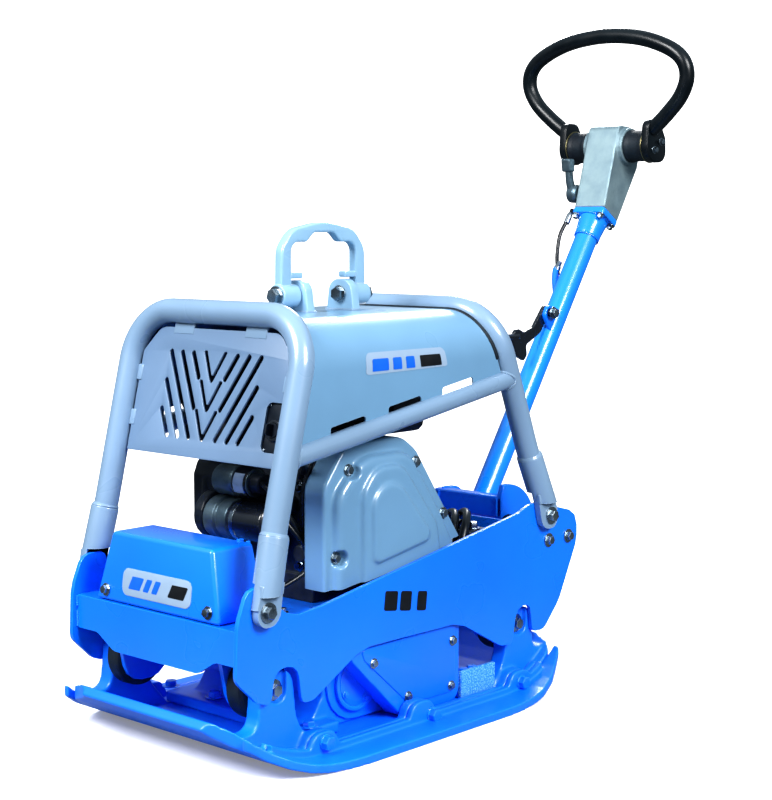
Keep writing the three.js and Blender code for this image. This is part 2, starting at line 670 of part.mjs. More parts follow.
function grillePlate() {
  const half = 189;
  const shape = outline([
    [-half, 488, 0], [half, 488, 0], [half, 512, 0], [146, 512, 12], [146, 592, 12], [half, 592, 0],
    [half, 660, 0], [150, 703, 34], [-150, 703, 34], [-half, 660, 0],
  ]);
  shape.holes.push(...grilleSlots());
  shape.holes.push(...[518, 567, 616].map(chevron));
  const stretch = Math.hypot(1, FRONT_HOOP.lean);
  return onGrillePlane(plateY(shape, -1.5, 1.5, 1).scale(1, 1, stretch), 0);
}

function hoodSection(inset) {
  const side = HOOD.side - inset;
  const top = HOOD.topZ - inset;
  return outline([
    [-side, 440, 0], [side, 440, 0], [side, top, HOOD.shoulder - inset], [-side, top, HOOD.shoulder - inset],
  ], THREE.Shape, CORNER_STEP / 3);
}

// A curved sheet between the hoops, standing on the rails, with slots along its lower edge.
function engineHood() {
  const shell = cut(plateY(hoodSection(0), -330, 330, 5), plateY(hoodSection(HOOD.sheet), -331, 331, 5));
  const under = plateX(outline([
    [-400, railZ(-400) + RAIL.radius + 1.5, 0], [400, railZ(400) + RAIL.radius + 1.5, 0],
    [400, 300, 0], [-400, 300, 0],
  ]), -300, 300);
  const frontSide = plateX(outline([
    [-420, 400, 0], [hoopY(FRONT_HOOP, 400) + 26, 400, 0],
    [hoopY(FRONT_HOOP, 780) + 26, 780, 0], [-420, 780, 0],
  ]), -300, 300);
  const rearSide = plateX(outline([
    [hoopY(REAR_HOOP, 400) - 25, 400, 0], [470, 400, 0], [470, 780, 0], [hoopY(REAR_HOOP, 780) - 25, 780, 0],
  ]), -300, 300);
  const slots = [-150, -10, 130].map((y) => {
    const z = railZ(y) + RAIL.radius;
    const rise = RAIL.slope * 42;
    return plateX(outline([
      [y - 42, z - rise - 4, 0], [y + 42, z + rise - 4, 0], [y + 42, z + rise + 11, 6],
      [y - 42, z - rise + 11, 6],
    ]), -260, 260, 2);
  });
  return cut(shell, under, frontSide, rearSide, ...slots);
}

addPart('front_hoop', hoopBar(FRONT_HOOP), 'grey');
addPart('rear_hoop', hoopBar(REAR_HOOP), 'grey');
addPart('hood_rail_right', hoodRail(), 'grey');
addPart('hood_rail_left', mirrorX(hoodRail()), 'grey');
addPart('grille_plate', grillePlate(), 'grey');
addPart('engine_hood', engineHood(), 'grey');

// ---------------------------------------------------------------- lifting bail
function bailLug(end) {
  const near = 48;
  const far = 67;
  const shape = outline([
    [-34, HOOD.topZ + GAP, 0], [34, HOOD.topZ + GAP, 0], [26, BAIL.z + 27, 24], [-26, BAIL.z + 27, 24],
  ]);
  shape.holes.push(circle(0, BAIL.z, 10, THREE.Path));
  const lug = plateY(shape, end > 0 ? near : -far, end > 0 ? far : -near, 4);
  return lug;
}

function bailPin(end) {
  const pin = rodY(9, 38, 116, 0, BAIL.z, 16);
  const head = rodY(15, 110.5, 121, 0, BAIL.z, 6);
  const nut = rodY(14, 36, 47.5, 0, BAIL.z, 6);
  const bolt = join(pin, head, nut);
  return end > 0 ? bolt : bolt.rotateZ(Math.PI);
}

function liftingBail() {
  const outer = BAIL.halfSpan;
  const inner = outer - BAIL.legWidth;
  const top = BAIL.z + BAIL.height;
  const ring = outline([
    [-outer, BAIL.z + 4, 0], [-inner, BAIL.z + 4, 0], [-inner, top - 36, 18], [-42, top - 36, 14],
    [-24, top - 19, 16], [24, top - 19, 16], [42, top - 36, 14],
    [inner, top - 36, 18], [inner, BAIL.z + 4, 0],
    [outer, BAIL.z + 4, 0], [outer - 4, top - 26, 40], [0, top + 2, 70], [-outer + 4, top - 26, 40],
  ]);
  const arch = plateX(ring, -BAIL.thickness / 2, BAIL.thickness / 2, 3);
  const bosses = [1, -1].map((end) => {
    const from = 68;
    const to = 110;
    return rodY(21, end > 0 ? from : -to, end > 0 ? to : -from, 0, BAIL.z, 20);
  });
  const stops = [1, -1].map((end) => {
    const from = 52;
    const to = inner + 2;
    return box(-9, 9, end > 0 ? from : -to, end > 0 ? to : -from, BAIL.z + 30, BAIL.z + 41);
  });
  const bores = [1, -1].map((end) => rodY(9 + GAP, end > 0 ? 60 : -120, end > 0 ? 120 : -60, 0, BAIL.z, 16));
  return cut(join(arch, ...bosses, ...stops), ...bores);
}

addPart('bail_lug_front', bailLug(-1), 'grey');
addPart('bail_lug_rear', bailLug(1), 'grey');
addPart('bail_pin_front', bailPin(-1), 'steel');
addPart('bail_pin_rear', bailPin(1), 'steel');
addPart('lifting_bail', liftingBail(), 'grey');

// ---------------------------------------------------------------- engine
function crankcase() {
  const { left, right } = CRANKCASE;
  const floor = DECK.top + GAP;
  const body = plateX(outline([
    [-128, 268, 14], [58, 268, 14], [66, 400, 30], [44, 474, 10], [-112, 474, 10], [-134, 400, 30],
  ]), left, right);
  const feet = [-112, 42].map((y) => box(left - 14, right + 14, y - 20, y + 20, floor, 276));
  const chamber = rodX(74, left + 14, right - 14, CRANK.y, CRANK.z - 20, 20);
  const bore = rodX(26, left - 1, right + 1, CRANK.y, CRANK.z, 20);
  return cut(join(body, ...feet), chamber, bore);
}

function cylinderHead() {
  const barrel = box(-50, 58, -92, 24, 474 + GAP, 640);
  const fins = Array.from({ length: 8 }, (_, index) => {
    const z = 486 + index * 15;
    return box(-66, 74, -108, 40, z, z + 5);
  });
  const cap = box(-62, 70, -104, 36, 606, 652);
  return join(barrel, cap, ...fins);
}

function flywheelHousing() {
  const sides = 8;
  const turn = Math.PI / sides;
  const corners = (radius) => Array.from({ length: sides }, (_, index) => {
    const angle = (index / sides) * 2 * Math.PI + turn;
    return [CRANK.y + radius * Math.cos(angle), CRANK.z - 6 + radius * Math.sin(angle), 30];
  });
  const outer = plateX(outline(corners(128)), -178, CRANKCASE.left - GAP, 2);
  const rim = rodX(124, -150, -140, CRANK.y, CRANK.z - 6, 20);
  const ear = rodX(43, -112, CRANKCASE.left - GAP, -168, 368, 20);
  const hollow = rodX(110, -170, CRANKCASE.left + 1, CRANK.y, CRANK.z - 6, 20);
  return cut(join(outer, rim, ear), hollow);
}

function crankshaft() {
  const shaft = rodX(20, -168, 192, CRANK.y, CRANK.z, 20);
  const flywheel = rodX(102, -164, -134, CRANK.y, CRANK.z, 20);
  const webs = [[-34, -18], [26, 42]].map(([from, to]) => plateX(outline([
    [CRANK.y - 22, CRANK.z + 34, 20], [CRANK.y - 30, CRANK.z - 44, 24],
    [CRANK.y + 30, CRANK.z - 44, 24], [CRANK.y + 22, CRANK.z + 34, 20],
  ]), from, to));
  return join(shaft, flywheel, ...webs);
}

function starterMotor() {
  const y = -173;
  const z = 366;
  const nose = rodX(38, CRANKCASE.left + GAP, -28, y, z, 20);
  const can = rodX(35, -30, 58, y, z, 20);
  const cap = rodX(28, 56, 66, y, z, 20);
  return join(nose, can, cap);
}

function starterSolenoid() {
  const y = -172;
  const z = 434;
  const body = rodX(27, -76, 14, y, z, 20);
  const terminal = rodX(18, 12, 36, y, z, 20);
  return join(body, terminal);
}

const CASING_WALL = 4;

function airFilter() {
  const { radius, x, z } = { radius: 56, x: -128, z: 588 };
  const can = rodY(radius, -180, 6, x, z, 24);
  const chamber = rodY(radius - CASING_WALL, -180 + CASING_WALL, 6 - CASING_WALL, x, z, 24);
  const intake = rodX(16, x, x + radius + 5, -60, z, 16);
  return cut(can, chamber, intake);
}

function casing(corners, y0, y1) {
  const inner = corners.map(([x, z, radius], index) => [
    x + (index === 0 || index === corners.length - 1 ? CASING_WALL : -CASING_WALL),
    z + (index < 2 ? CASING_WALL : -CASING_WALL),
    radius - CASING_WALL,
  ]);
  return cut(plateY(outline(corners), y0, y1), plateY(outline(inner), y0 + CASING_WALL, y1 - CASING_WALL));
}

function muffler() {
  const shell = casing([[-190, 520, 22], [-80, 520, 22], [-80, 664, 22], [-190, 664, 22]], 48, 200);
  const outlet = rodY(15, 190, 205, -135, 566, 16);
  return cut(shell, outlet);
}

function fuelTank() {
  const shell = casing([
    [-66, 506, 24], [126, 506, 24], [126, 640, 40], [100, 690, 40], [-66, 690, 24],
  ], 56, 138);
  const filler = rodZ(24, 680, 700, 20, 97, 20);
  return cut(shell, filler);
}

// Belt guard: four stepped layers, hollow and open at the bottom and towards the engine.
const GUARD_SHEET = 3;
const GUARD_LAYERS = [
  { from: 122, to: 172, corners: [[-166, 0], [206, 0], [150, 366, 40], [68, 484, 40], [30, 512, 60],
    [-112, 512, 40], [-166, 440, 40]] },
  { from: 172, to: 190, corners: [[-152, 0], [176, 0], [118, 372, 30], [34, 490, 50], [-84, 490, 70],
    [-152, 430, 60]] },
  { from: 190, to: 199, corners: [[-98, 0], [112, 0], [96, 352, 20], [4, 470, 40], [-66, 470, 50],
    [-98, 430, 30]] },
];
const GUARD_PANEL = [[-81, 298, 12], [82, 327, 10], [-2, 432, 34], [-40, 446, 30], [-81, 420, 34]];

function guardBottom(y) {
  return 264 + 0.1425 * (y + 166);
}

function guardLayer({ from, to, corners }, inset, drop) {
  const middle = -20;
  const placed = corners.map(([y, z, radius = 0]) => [
    y + (y < middle ? inset : -inset),
    radius > 0 ? z - inset : guardBottom(y) - drop,
    radius,
  ]);
  return plateX(outline(placed), from, to);
}

function beltGuard() {
  const outer = GUARD_LAYERS.map((layer) => guardLayer({ ...layer, from: layer.from - 1 }, 0, 0));
  const inner = GUARD_LAYERS.map((layer) => {
    const shifted = { ...layer, from: layer.from - GUARD_SHEET - 2, to: layer.to - GUARD_SHEET };
    return guardLayer(shifted, GUARD_SHEET, 20);
  });
  const panel = plateX(outline(GUARD_PANEL), 198, 206);
  return cut(join(...outer, panel), ...inner);
}

function driveBelt() {
  const loop = (grow, PathType) => {
    const upper = { y: CRANK.y, z: CRANK.z, radius: CLUTCH_RADIUS + grow };
    const lower = { y: REAR_SHAFT_Y, z: SHAFT_Z, radius: EXCITER_PULLEY_RADIUS + grow };
    const span = Math.hypot(upper.y - lower.y, upper.z - lower.z);
    const heading = Math.atan2(upper.z - lower.z, upper.y - lower.y);
    const tilt = Math.acos((lower.radius - upper.radius) / span);
    const path = new PathType();
    path.absarc(upper.y, upper.z, upper.radius, heading + Math.PI + tilt, heading + Math.PI - tilt, false);
    path.absarc(lower.y, lower.z, lower.radius, heading + Math.PI - tilt, heading + Math.PI + tilt, false);
    path.closePath();
    return path;
  };
  const shape = loop(BELT.thickness - GAP, THREE.Shape);
  shape.holes.push(loop(GAP, THREE.Path));
  return plateX(shape, BELT.from, BELT.to, 8);
}

addPart('crankcase', crankcase(), 'iron');
addPart('cylinder_head', cylinderHead(), 'iron');
addPart('flywheel_housing', flywheelHousing(), 'black');
addPart('crankshaft', crankshaft(), 'steel');
addPart(
  'clutch_pulley',
  grooved(CLUTCH_RADIUS + BELT.thickness, 20 + GAP, 163, 186.4, CRANK.y, CRANK.z),
  'iron',
);
addPart('drive_belt', driveBelt(), 'rubber');
addPart('starter_motor', starterMotor(), 'black');
addPart('starter_solenoid', starterSolenoid(), 'black');
addPart('air_filter', airFilter(), 'black');
addPart('muffler', muffler(), 'iron');
addPart('fuel_tank', fuelTank(), 'black');
addPart('belt_guard', beltGuard(), 'grey');

// ---------------------------------------------------------------- battery and controls at the front
function batteryCover() {
  const sides = (inset, low) => {
    const lower = 158 - inset;
    const upper = 128 - inset;
    return outline([[-lower, low, 0], [lower, low, 0], [upper, 361 - inset, 6], [-upper, 361 - inset, 6]]);
  };
  const taper = plateX(outline([
    [BUMPER_Y - 2, 242 + GAP, 0], [-286, 242 + GAP, 0], [-286, 366, 0], [BUMPER_Y + 12, 366, 0],
  ]), -200, 200);
  const hollow = plateX(outline([
    [BUMPER_Y + 1, 230, 0], [-280, 230, 0], [-280, 359, 0], [BUMPER_Y + 15, 359, 0],
  ]), -200, 200);
  const outer = keep(plateY(sides(0, 242 + GAP), -400, -270), taper);
  const inner = keep(plateY(sides(2.5, 230), -400, -270), hollow);
  return cut(outer, inner);
}

function batteryBlock() {
  const case_ = box(-86, 86, -372, -290, 242.6, 336);
  const posts = [-62, 62].map((x) => rodZ(8, 335, 346, x, -331, 14));
  return join(case_, ...posts);
}

const KEY = { x: 167, z: 548, radius: 12.4 };

function controlBox() {
  const shell = box(143, 190, 3, 60, -41, 49);
  const well = rodY(KEY.radius + 1.1, 2, 30, KEY.x, 0, 20);
  return onGrillePlane(cut(shell, well), KEY.z);
}

function ignitionKey() {
  const barrel = rodY(KEY.radius, -2, 28, KEY.x, 0, 20);
  const bladeShape = outline([[-17, -9, 4], [-1, -10, 1], [-1, 10, 1], [-17, 9, 4]]);
  const blade = plateX(bladeShape, KEY.x - 1.5, KEY.x + 1.5);
  return onGrillePlane(join(barrel, blade), KEY.z);
}

addPart('battery_cover', batteryCover(), 'blue');
addPart('battery', batteryBlock(), 'black');
addPart('control_box', controlBox(), 'black');
addPart('ignition_key', ignitionKey(), 'black');

// ---------------------------------------------------------------- drawbar
const LATCH = { distance: 474, forward: -40, x: 0, thickness: 8, pin: 8 };

// Yoke, drawn about the pivot in its working position: two cheeks, a front wall and a round back.
function yoke() {
  const { halfWidth, cheek, radius, beam } = YOKE;
  const low = -0.12;
  const high = Math.PI * 0.54;
  const cheekShape = new THREE.Shape();
  cheekShape.moveTo(-18, 8);
  cheekShape.lineTo(-16, -20);
  cheekShape.lineTo(8, -28);
  cheekShape.lineTo(radius * Math.cos(low), radius * Math.sin(low));
  cheekShape.absarc(0, 0, radius, low, high, false);
  cheekShape.lineTo(-18, 68);
  cheekShape.closePath();
  const rightCheek = plateX(cheekShape, halfWidth - cheek, halfWidth, 4);
  const lowCheekShape = outline([
    [-18, 8, 0], [-16, -20, 0], [8, -28, 0], [beam, -10, 0], [beam, beam, beam], [-18, beam, 6],
  ]);
  const leftCheek = plateX(lowCheekShape, -halfWidth, cheek - halfWidth);
  const back = new THREE.Shape();
  back.absarc(0, 0, beam, 0.1, high, false);
  back.absarc(0, 0, beam - 8, high, 0.1, true);
  back.closePath();
  const front = outline([[-18, 25, 3], [-9, 25, 3], [-9, beam, 0], [-18, beam, 4]]);
  const half = halfWidth - 2;
  const walls = [plateX(back, -half, half, 4), plateX(front, -half, half)];
  const { y, z } = DRAWBAR_PIVOT;
  return [rightCheek, leftCheek, ...walls].map((piece) => piece.translate(0, y, z));
}

function drawbarTube() {
  const shape = circle(0, 0, DRAWBAR_RADIUS);
  shape.holes.push(circle(0, 0, DRAWBAR_RADIUS - 4, THREE.Path));
  const pipe = plateZ(shape, 58, FLANGE_DISTANCE - 10, 8);
  const neck = new THREE.LatheGeometry([
    new THREE.Vector2(0, FLANGE_DISTANCE - 58), new THREE.Vector2(27, FLANGE_DISTANCE - 58),
    new THREE.Vector2(31, FLANGE_DISTANCE - 12), new THREE.Vector2(0, FLANGE_DISTANCE - 12),
  ], 20).rotateX(Math.PI / 2);
  const flange = plateZ(outline([
    [-HEAD_HALF_WIDTH, -31, 8], [HEAD_HALF_WIDTH, -31, 8],
    [HEAD_HALF_WIDTH, 31, 8], [-HEAD_HALF_WIDTH, 31, 8],
  ]), FLANGE_DISTANCE - 14, FLANGE_DISTANCE - GAP);
  const bracketFrom = LATCH.x + LATCH.thickness + GAP;
  const bracket = plateX(outline([
    [-10, LATCH.distance - 34, 6], [LATCH.forward - 12, LATCH.distance - 14, 14],
    [LATCH.forward - 14, LATCH.distance + 12, 14], [-10, LATCH.distance + 24, 6],
  ]), bracketFrom, bracketFrom + 9);
  const eye = rodX(LATCH.pin + 0.5, bracketFrom - 5, bracketFrom + 12, LATCH.forward, LATCH.distance, 16);
  const bore = rodZ(DRAWBAR_RADIUS - 4, 40, FLANGE_DISTANCE - 60, 0, 0, 16);
  const spigotBore = rodX(YOKE.spigot + 0.6, YOKE.halfWidth - YOKE.cheek - 6, YOKE.halfWidth + 5, 0, 0, 20);
  const welded = join(leaned(join(pipe, neck, flange, bracket)), ...yoke());
  return cut(welded, ...[bore, eye, spigotBore, mirrorX(spigotBore)].map(leaned));
}

function handleHead() {
  const { y, z } = HEAD_AXIS;
  const seat = new THREE.Vector2(DRAWBAR_PIVOT.y, DRAWBAR_PIVOT.z).addScaledVector(
    new THREE.Vector2(Math.sin(DRAWBAR_ANGLE), Math.cos(DRAWBAR_ANGLE)), FLANGE_DISTANCE + GAP,
  );
  const across = new THREE.Vector2(Math.cos(DRAWBAR_ANGLE), -Math.sin(DRAWBAR_ANGLE)).multiplyScalar(29);
  const front = seat.clone().sub(across);
  const rear = seat.clone().add(across);
  const side = outline([
    [front.x, front.y, 0], [rear.x, rear.y, 0], [y + 46, z - 36, 30], [y + 38, z + 42, 40],
    [y - 30, z + 44, 12], [front.x + 18, front.y + 60, 60],
  ]);
  const casting = plateX(side, -HEAD_HALF_WIDTH + 2, HEAD_HALF_WIDTH - 2, 3);
  const boss = rodX(39, -50, 50, y, z, 20);
  const bore = rodX(HANDLE_SHAFT_RADIUS + 0.6, -52, 52, y, z, 16);
  return cut(join(casting, boss), bore);
}

function headBush() {
  const { y, z } = HEAD_AXIS;
  const bore = rodX(HANDLE_SHAFT_RADIUS + 0.6, 48, 100, y, z, 16);
  return cut(waistedDrum(35, 33, 50 + GAP, 98, y, z), bore);
}

function handleShaft() {
  return rodX(HANDLE_SHAFT_RADIUS, -116, 116, HEAD_AXIS.y, HEAD_AXIS.z, 16);
}

function bowPoint(x, z) {
  return new THREE.Vector3(x, HEAD_AXIS.y - 8 + BOW_LEAN * (z - HEAD_AXIS.z), z);
}

// Bow handle: one bent tube whose ends are welded into two bolted end plates.
function handleBow() {
  const { y, z } = HEAD_AXIS;
  const corners = [
    bowPoint(-119, z + 38), bowPoint(-208, z + 112), bowPoint(-206, z + 178), bowPoint(0, z + 249),
    bowPoint(206, z + 178), bowPoint(208, z + 112), bowPoint(119, z + 38),
  ];
  const bow = tube(corners, [46, 46, 300, 46, 46], BOW_RADIUS, 0, [3, 3, 3, 3, 3]);
  const plates = [1, -1].map((side) => {
    const plate = plateX(outline([
      [y - 40, z - 36, 34], [y + 36, z - 36, 34], [y + 34, z + 16, 24],
      [y + 10, z + 54, 20], [y - 34, z + 54, 20],
    ]), 98 + GAP, 116, 3);
    return side > 0 ? plate : mirrorX(plate);
  });
  const bore = rodX(HANDLE_SHAFT_RADIUS + GAP + 0.2, -130, 130, y, z, 16);
  return cut(join(bow, ...plates), bore);
}

function throttleLever() {
  const y = 833;
  const z = 949;
  const hub = rodX(17, -58, -HEAD_HALF_WIDTH - GAP, y, z, 20);
  const stem = plateX(outline([
    [y - 10, z - 4, 3], [y + 9, z - 4, 3], [y - 12, z + 52, 3], [y - 20, z + 52, 3],
  ]), -57, -50, 2);
  const knob = plateX(outline([
    [y - 27, z + 48, 5], [y - 7, z + 48, 5], [y - 9, z + 76, 5], [y - 31, z + 76, 5],
  ]), -63, -43, 3);
  return join(hub, stem, knob);
}

// Transport latch: a hooked plate on the drawbar bracket with a pull rod towards the hoop.
function drawbarLatch() {
  const { distance, forward, x, thickness, pin } = LATCH;
  const plate = plateX(outline([
    [forward + 9, distance + 11, 9], [forward - 13, distance + 14, 12], [forward - 20, distance - 46, 10],
    [forward - 40, distance - 72, 8], [forward - 68, distance - 76, 14], [forward - 68, distance - 104, 14],
    [forward - 38, distance - 126, 12], [forward - 8, distance - 122, 6], [forward - 6, distance - 106, 4],
    [forward - 20, distance - 90, 6], [forward - 10, distance - 74, 6], [forward + 8, distance - 44, 8],
  ]), x, x + thickness);
  const bolt = rodX(pin, x - 6, x + thickness + GAP + 15, forward, distance, 16);
  const lobe = new THREE.Vector3(0, forward - 53, distance - 90);
  lobe.applyAxisAngle(new THREE.Vector3(1, 0, 0), -DRAWBAR_ANGLE);
  const rodZpos = DRAWBAR_PIVOT.z + lobe.z;
  const rodEnd = DRAWBAR_PIVOT.y + lobe.y;
  const rod = rodY(6.5, rodEnd - 130, rodEnd + 4, x + thickness / 2, rodZpos, 12);
  return join(leaned(join(plate, bolt)), rod);
}

addPart('drawbar_tube', drawbarTube(), 'blue');
addPart('handle_head', handleHead(), 'aluminium');
addPart('head_bush_right', headBush(), 'rubber');
addPart('head_bush_left', mirrorX(headBush()), 'rubber');
addPart('handle_shaft', handleShaft(), 'steel');
addPart('handle_bow', handleBow(), 'black');
addPart('throttle_lever', throttleLever(), 'aluminium');
addPart('drawbar_latch', drawbarLatch(), 'black');

export default root;
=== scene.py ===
"""Looks of a reversible vibratory plate compactor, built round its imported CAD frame.

Lengths are millimetres and become metres in mesh_of(); the floor, the lights and the camera are in metres.
+Z is up, -Y the grille end, +X the belt side, and the origin is on the ground under the middle of the base.
"""

import json
import math

import bmesh
import bpy
from mathutils import Matrix, Quaternion, Vector
from mathutils.geometry import tessellate_polygon

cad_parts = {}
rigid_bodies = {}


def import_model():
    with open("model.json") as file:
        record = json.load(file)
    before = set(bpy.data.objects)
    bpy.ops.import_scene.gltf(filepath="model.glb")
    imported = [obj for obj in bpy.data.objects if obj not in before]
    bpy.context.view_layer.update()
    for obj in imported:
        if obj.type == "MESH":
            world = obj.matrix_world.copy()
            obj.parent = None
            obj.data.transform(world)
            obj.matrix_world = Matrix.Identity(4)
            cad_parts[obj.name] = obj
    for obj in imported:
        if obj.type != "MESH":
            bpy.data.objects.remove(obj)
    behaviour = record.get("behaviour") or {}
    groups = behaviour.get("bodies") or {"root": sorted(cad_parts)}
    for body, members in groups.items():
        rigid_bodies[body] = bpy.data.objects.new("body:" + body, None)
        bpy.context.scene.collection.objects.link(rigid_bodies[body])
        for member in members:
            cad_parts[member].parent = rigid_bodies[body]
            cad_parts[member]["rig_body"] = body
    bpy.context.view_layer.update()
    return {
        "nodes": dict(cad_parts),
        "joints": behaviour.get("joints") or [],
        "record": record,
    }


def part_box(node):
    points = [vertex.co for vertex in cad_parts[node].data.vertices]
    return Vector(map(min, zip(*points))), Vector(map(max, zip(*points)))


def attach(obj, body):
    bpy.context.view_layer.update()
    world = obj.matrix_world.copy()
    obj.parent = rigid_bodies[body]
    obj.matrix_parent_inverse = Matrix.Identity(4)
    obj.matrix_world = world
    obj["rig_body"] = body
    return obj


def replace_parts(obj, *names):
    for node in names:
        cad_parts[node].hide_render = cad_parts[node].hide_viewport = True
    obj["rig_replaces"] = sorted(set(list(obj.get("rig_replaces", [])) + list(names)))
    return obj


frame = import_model()

MM = 0.001
X, Y, Z = Vector((1, 0, 0)), Vector((0, 1, 0)), Vector((0, 0, 1))


# ---- frame dimensions
def low(node):
    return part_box(node)[0] / MM


def high(node):
    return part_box(node)[1] / MM


def joint_place(name):
    joint = next(j for j in frame["joints"] if j["name"] == name)
    return Vector(joint["pos_m"]) / MM


PLATE_OUTER = high("side_plate_right").x
PLATE_INNER = low("side_plate_right").x
BUMPER_FRONT = low("bumper_plate").y
DRAWBAR_PIVOT = joint_place("drawbar_pivot")
HEAD_AXIS = joint_place("handle_pivot")
THROTTLE_AXIS = joint_place("throttle_pivot")
KEY_AXIS = joint_place("key_turn")
BAIL_AXIS = joint_place("bail_pivot")
CRANK_AXIS = joint_place("crank_spin")
FRONT_SHAFT = joint_place("exciter_front_spin")

DRAWBAR_LEAN = math.radians(33.3)
HOOP_RADIUS = 21.2
HOOP_BEND = 90
KNEE_BEND = 160
KNEE_RISE = 130
FRONT_HOOP = {"foot": (-352, 270.6), "lean": 0.243, "foot_x": 222, "top_x": 214, "top_z": 732}
REAR_HOOP = {"foot": (387, 332.4), "lean": -0.396, "foot_x": 220, "top_x": 209, "top_z": 729}
RAIL = {"radius": 16.85, "x": 212, "front": (-239, 513), "slope": 0.1674, "meets": (511, 600)}
HOOD = {"top": 727, "side": 213, "bottom": 440, "shoulder": 88, "sheet": 3, "front_gap": 26, "rear_gap": 25}
SHARP = 32
KEPT_EDGE = 0.8


def hoop_y(hoop, z):
    foot_y, foot_z = hoop["foot"]
    return foot_y + hoop["lean"] * (z - foot_z)


def hoop_point(hoop, x, z):
    return Vector((x, hoop_y(hoop, z), z))


def rail_z(y):
    start_y, start_z = RAIL["front"]
    return start_z + RAIL["slope"] * (y - start_y)


# ---- materials
COLOUR_A, COLOUR_B, COLOUR_RESULT = 6, 7, 2  # the colour sockets of Blender's mix node


class Recipe:
    """A material or a world under construction: short calls that add and join shader nodes."""

    def __init__(self, name, kind="materials", shader="Principled BSDF", place="Object"):
        self.material = getattr(bpy.data, kind).new(name)
        self.material.use_nodes = True
        self.tree = self.material.node_tree
        self.shader = self.tree.nodes[shader]
        self.place = self.node("ShaderNodeTexCoord").outputs[place]

    def node(self, kind, **settings):
        made = self.tree.nodes.new(kind)
        for key, value in settings.items():
            setattr(made, key, value)
        return made

    def link(self, source, target):
        self.tree.links.new(source, target)

    def feed(self, source, name):
        self.link(source, self.shader.inputs[name])

    def noise(self, scale, detail=3.0, rough=0.5):
        made = self.node("ShaderNodeTexNoise")
        self.link(self.place, made.inputs["Vector"])
        for key, value in (("Scale", scale), ("Detail", detail), ("Roughness", rough)):
            made.inputs[key].default_value = value
        return made.outputs["Fac"]

    def band(self, source, start, end, low_value=0.0, high_value=1.0):
        made = self.node("ShaderNodeMapRange")
        self.link(source, made.inputs["Value"])
        names = ("From Min", "From Max", "To Min", "To Max")
        for key, value in zip(names, (start, end, low_value, high_value)):
            made.inputs[key].default_value = value
        return made.outputs["Result"]

    def mix(self, factor, first, second):
        made = self.node("ShaderNodeMix", data_type="RGBA")
        self.link(factor, made.inputs["Factor"])
        for socket, value in ((made.inputs[COLOUR_A], first), (made.inputs[COLOUR_B], second)):
            if isinstance(value, tuple):
                socket.default_value = (*value, 1)
            else:
                self.link(value, socket)
        return made.outputs[COLOUR_RESULT]

    def times(self, first, second):
        made = self.node("ShaderNodeMath", operation="MULTIPLY")
        self.link(first, made.inputs[0])
        if isinstance(second, (int, float)):
            made.inputs[1].default_value = second
        else:
            self.link(second, made.inputs[1])
        return made.outputs[0]

    def edges(self, reach):
        """1 within reach millimetres of an edge, 0 on flats."""
        made = self.node("ShaderNodeVectorMath", operation="DOT_PRODUCT")
        turning = self.node("ShaderNodeBevel", samples=4)
        turning.inputs["Radius"].default_value = reach * MM
        self.link(turning.outputs["Normal"], made.inputs[0])
        self.link(self.node("ShaderNodeNewGeometry").outputs["Normal"], made.inputs[1])
        return self.band(made.outputs["Value"], 0.97, 0.8)

    def bump(self, height, strength, distance):
        made = self.node("ShaderNodeBump")
        made.inputs["Strength"].default_value = strength
        made.inputs["Distance"].default_value = distance
        self.link(height, made.inputs["Height"])
        self.feed(made.outputs["Normal"], "Normal")
        self.feed(made.outputs["Normal"], "Coat Normal")

    def set(self, **values):
        for key, value in values.items():
            self.shader.inputs[key.replace("_", " ")].default_value = value


def paint(name, colour, edge_highlight, grain_scale, grain_depth, roughness, reach=2.2, coat=0.5):
    """Gloss paint over metal: slow tone drift, a painted highlight in a lighter colour along the edges, a
    faint film and orange peel.
    """
    recipe = Recipe(name)
    deep = tuple(channel * 0.86 for channel in colour)
    tone = recipe.mix(recipe.band(recipe.noise(3.5, 4), 0.35, 0.65), deep, colour)
    # painted highlight: a lighter colour mixed in near edges, its strength varied by noise
    edge_highlight_mask = recipe.times(recipe.edges(reach), recipe.band(recipe.noise(60, 5, 0.7), 0.35, 0.6, 0.35, 0.9))
    recipe.feed(recipe.mix(edge_highlight_mask, tone, edge_highlight), "Base Color")
    recipe.feed(recipe.band(recipe.noise(9, 2), 0.2, 0.8, roughness - 0.05, roughness + 0.09), "Roughness")
    recipe.set(Metallic=0.0, Specular_IOR_Level=0.5, Coat_Weight=coat, Coat_Roughness=0.1)
    recipe.bump(recipe.noise(grain_scale, 3), 0.2, grain_depth)
    return recipe.material


def patchy(name, colours, patch, film, grain, **values):
    """Two colours in patches, a film of changing roughness and a grain; each starts with its noise."""
    recipe = Recipe(name)
    recipe.feed(recipe.mix(recipe.band(recipe.noise(*patch[:3]), *patch[3:]), *colours), "Base Color")
    recipe.feed(recipe.band(recipe.noise(*film[:2]), 0.3, 0.7, *film[2:]), "Roughness")
    recipe.set(**values)
    recipe.bump(recipe.noise(*grain[:3]), *grain[3:])
    return recipe.material


def metal(name, colour, stain, roughness, grain_scale, grain_depth, metallic=1.0):
    """Bare or plated metal with patchy tone, rougher patches and a fine grain."""
    return patchy(name, (colour, stain), (22, 5, 0.6, 0.38, 0.66), (35, 4, roughness, roughness + 0.2),
                  (grain_scale, 4, 0.6, 0.5, grain_depth), Metallic=metallic)


def dull(name, colour, dust, roughness, grain_scale, grain_depth):
    """Rubber, moulded plastic or printed sheet: dusty patches and a fine moulded grain."""
    return patchy(name, (colour, dust), (14, 5, 0.6, 0.42, 0.7), (30, 3, roughness - 0.08, roughness + 0.08),
                  (grain_scale, 3, 0.5, 0.45, grain_depth), Specular_IOR_Level=0.35)


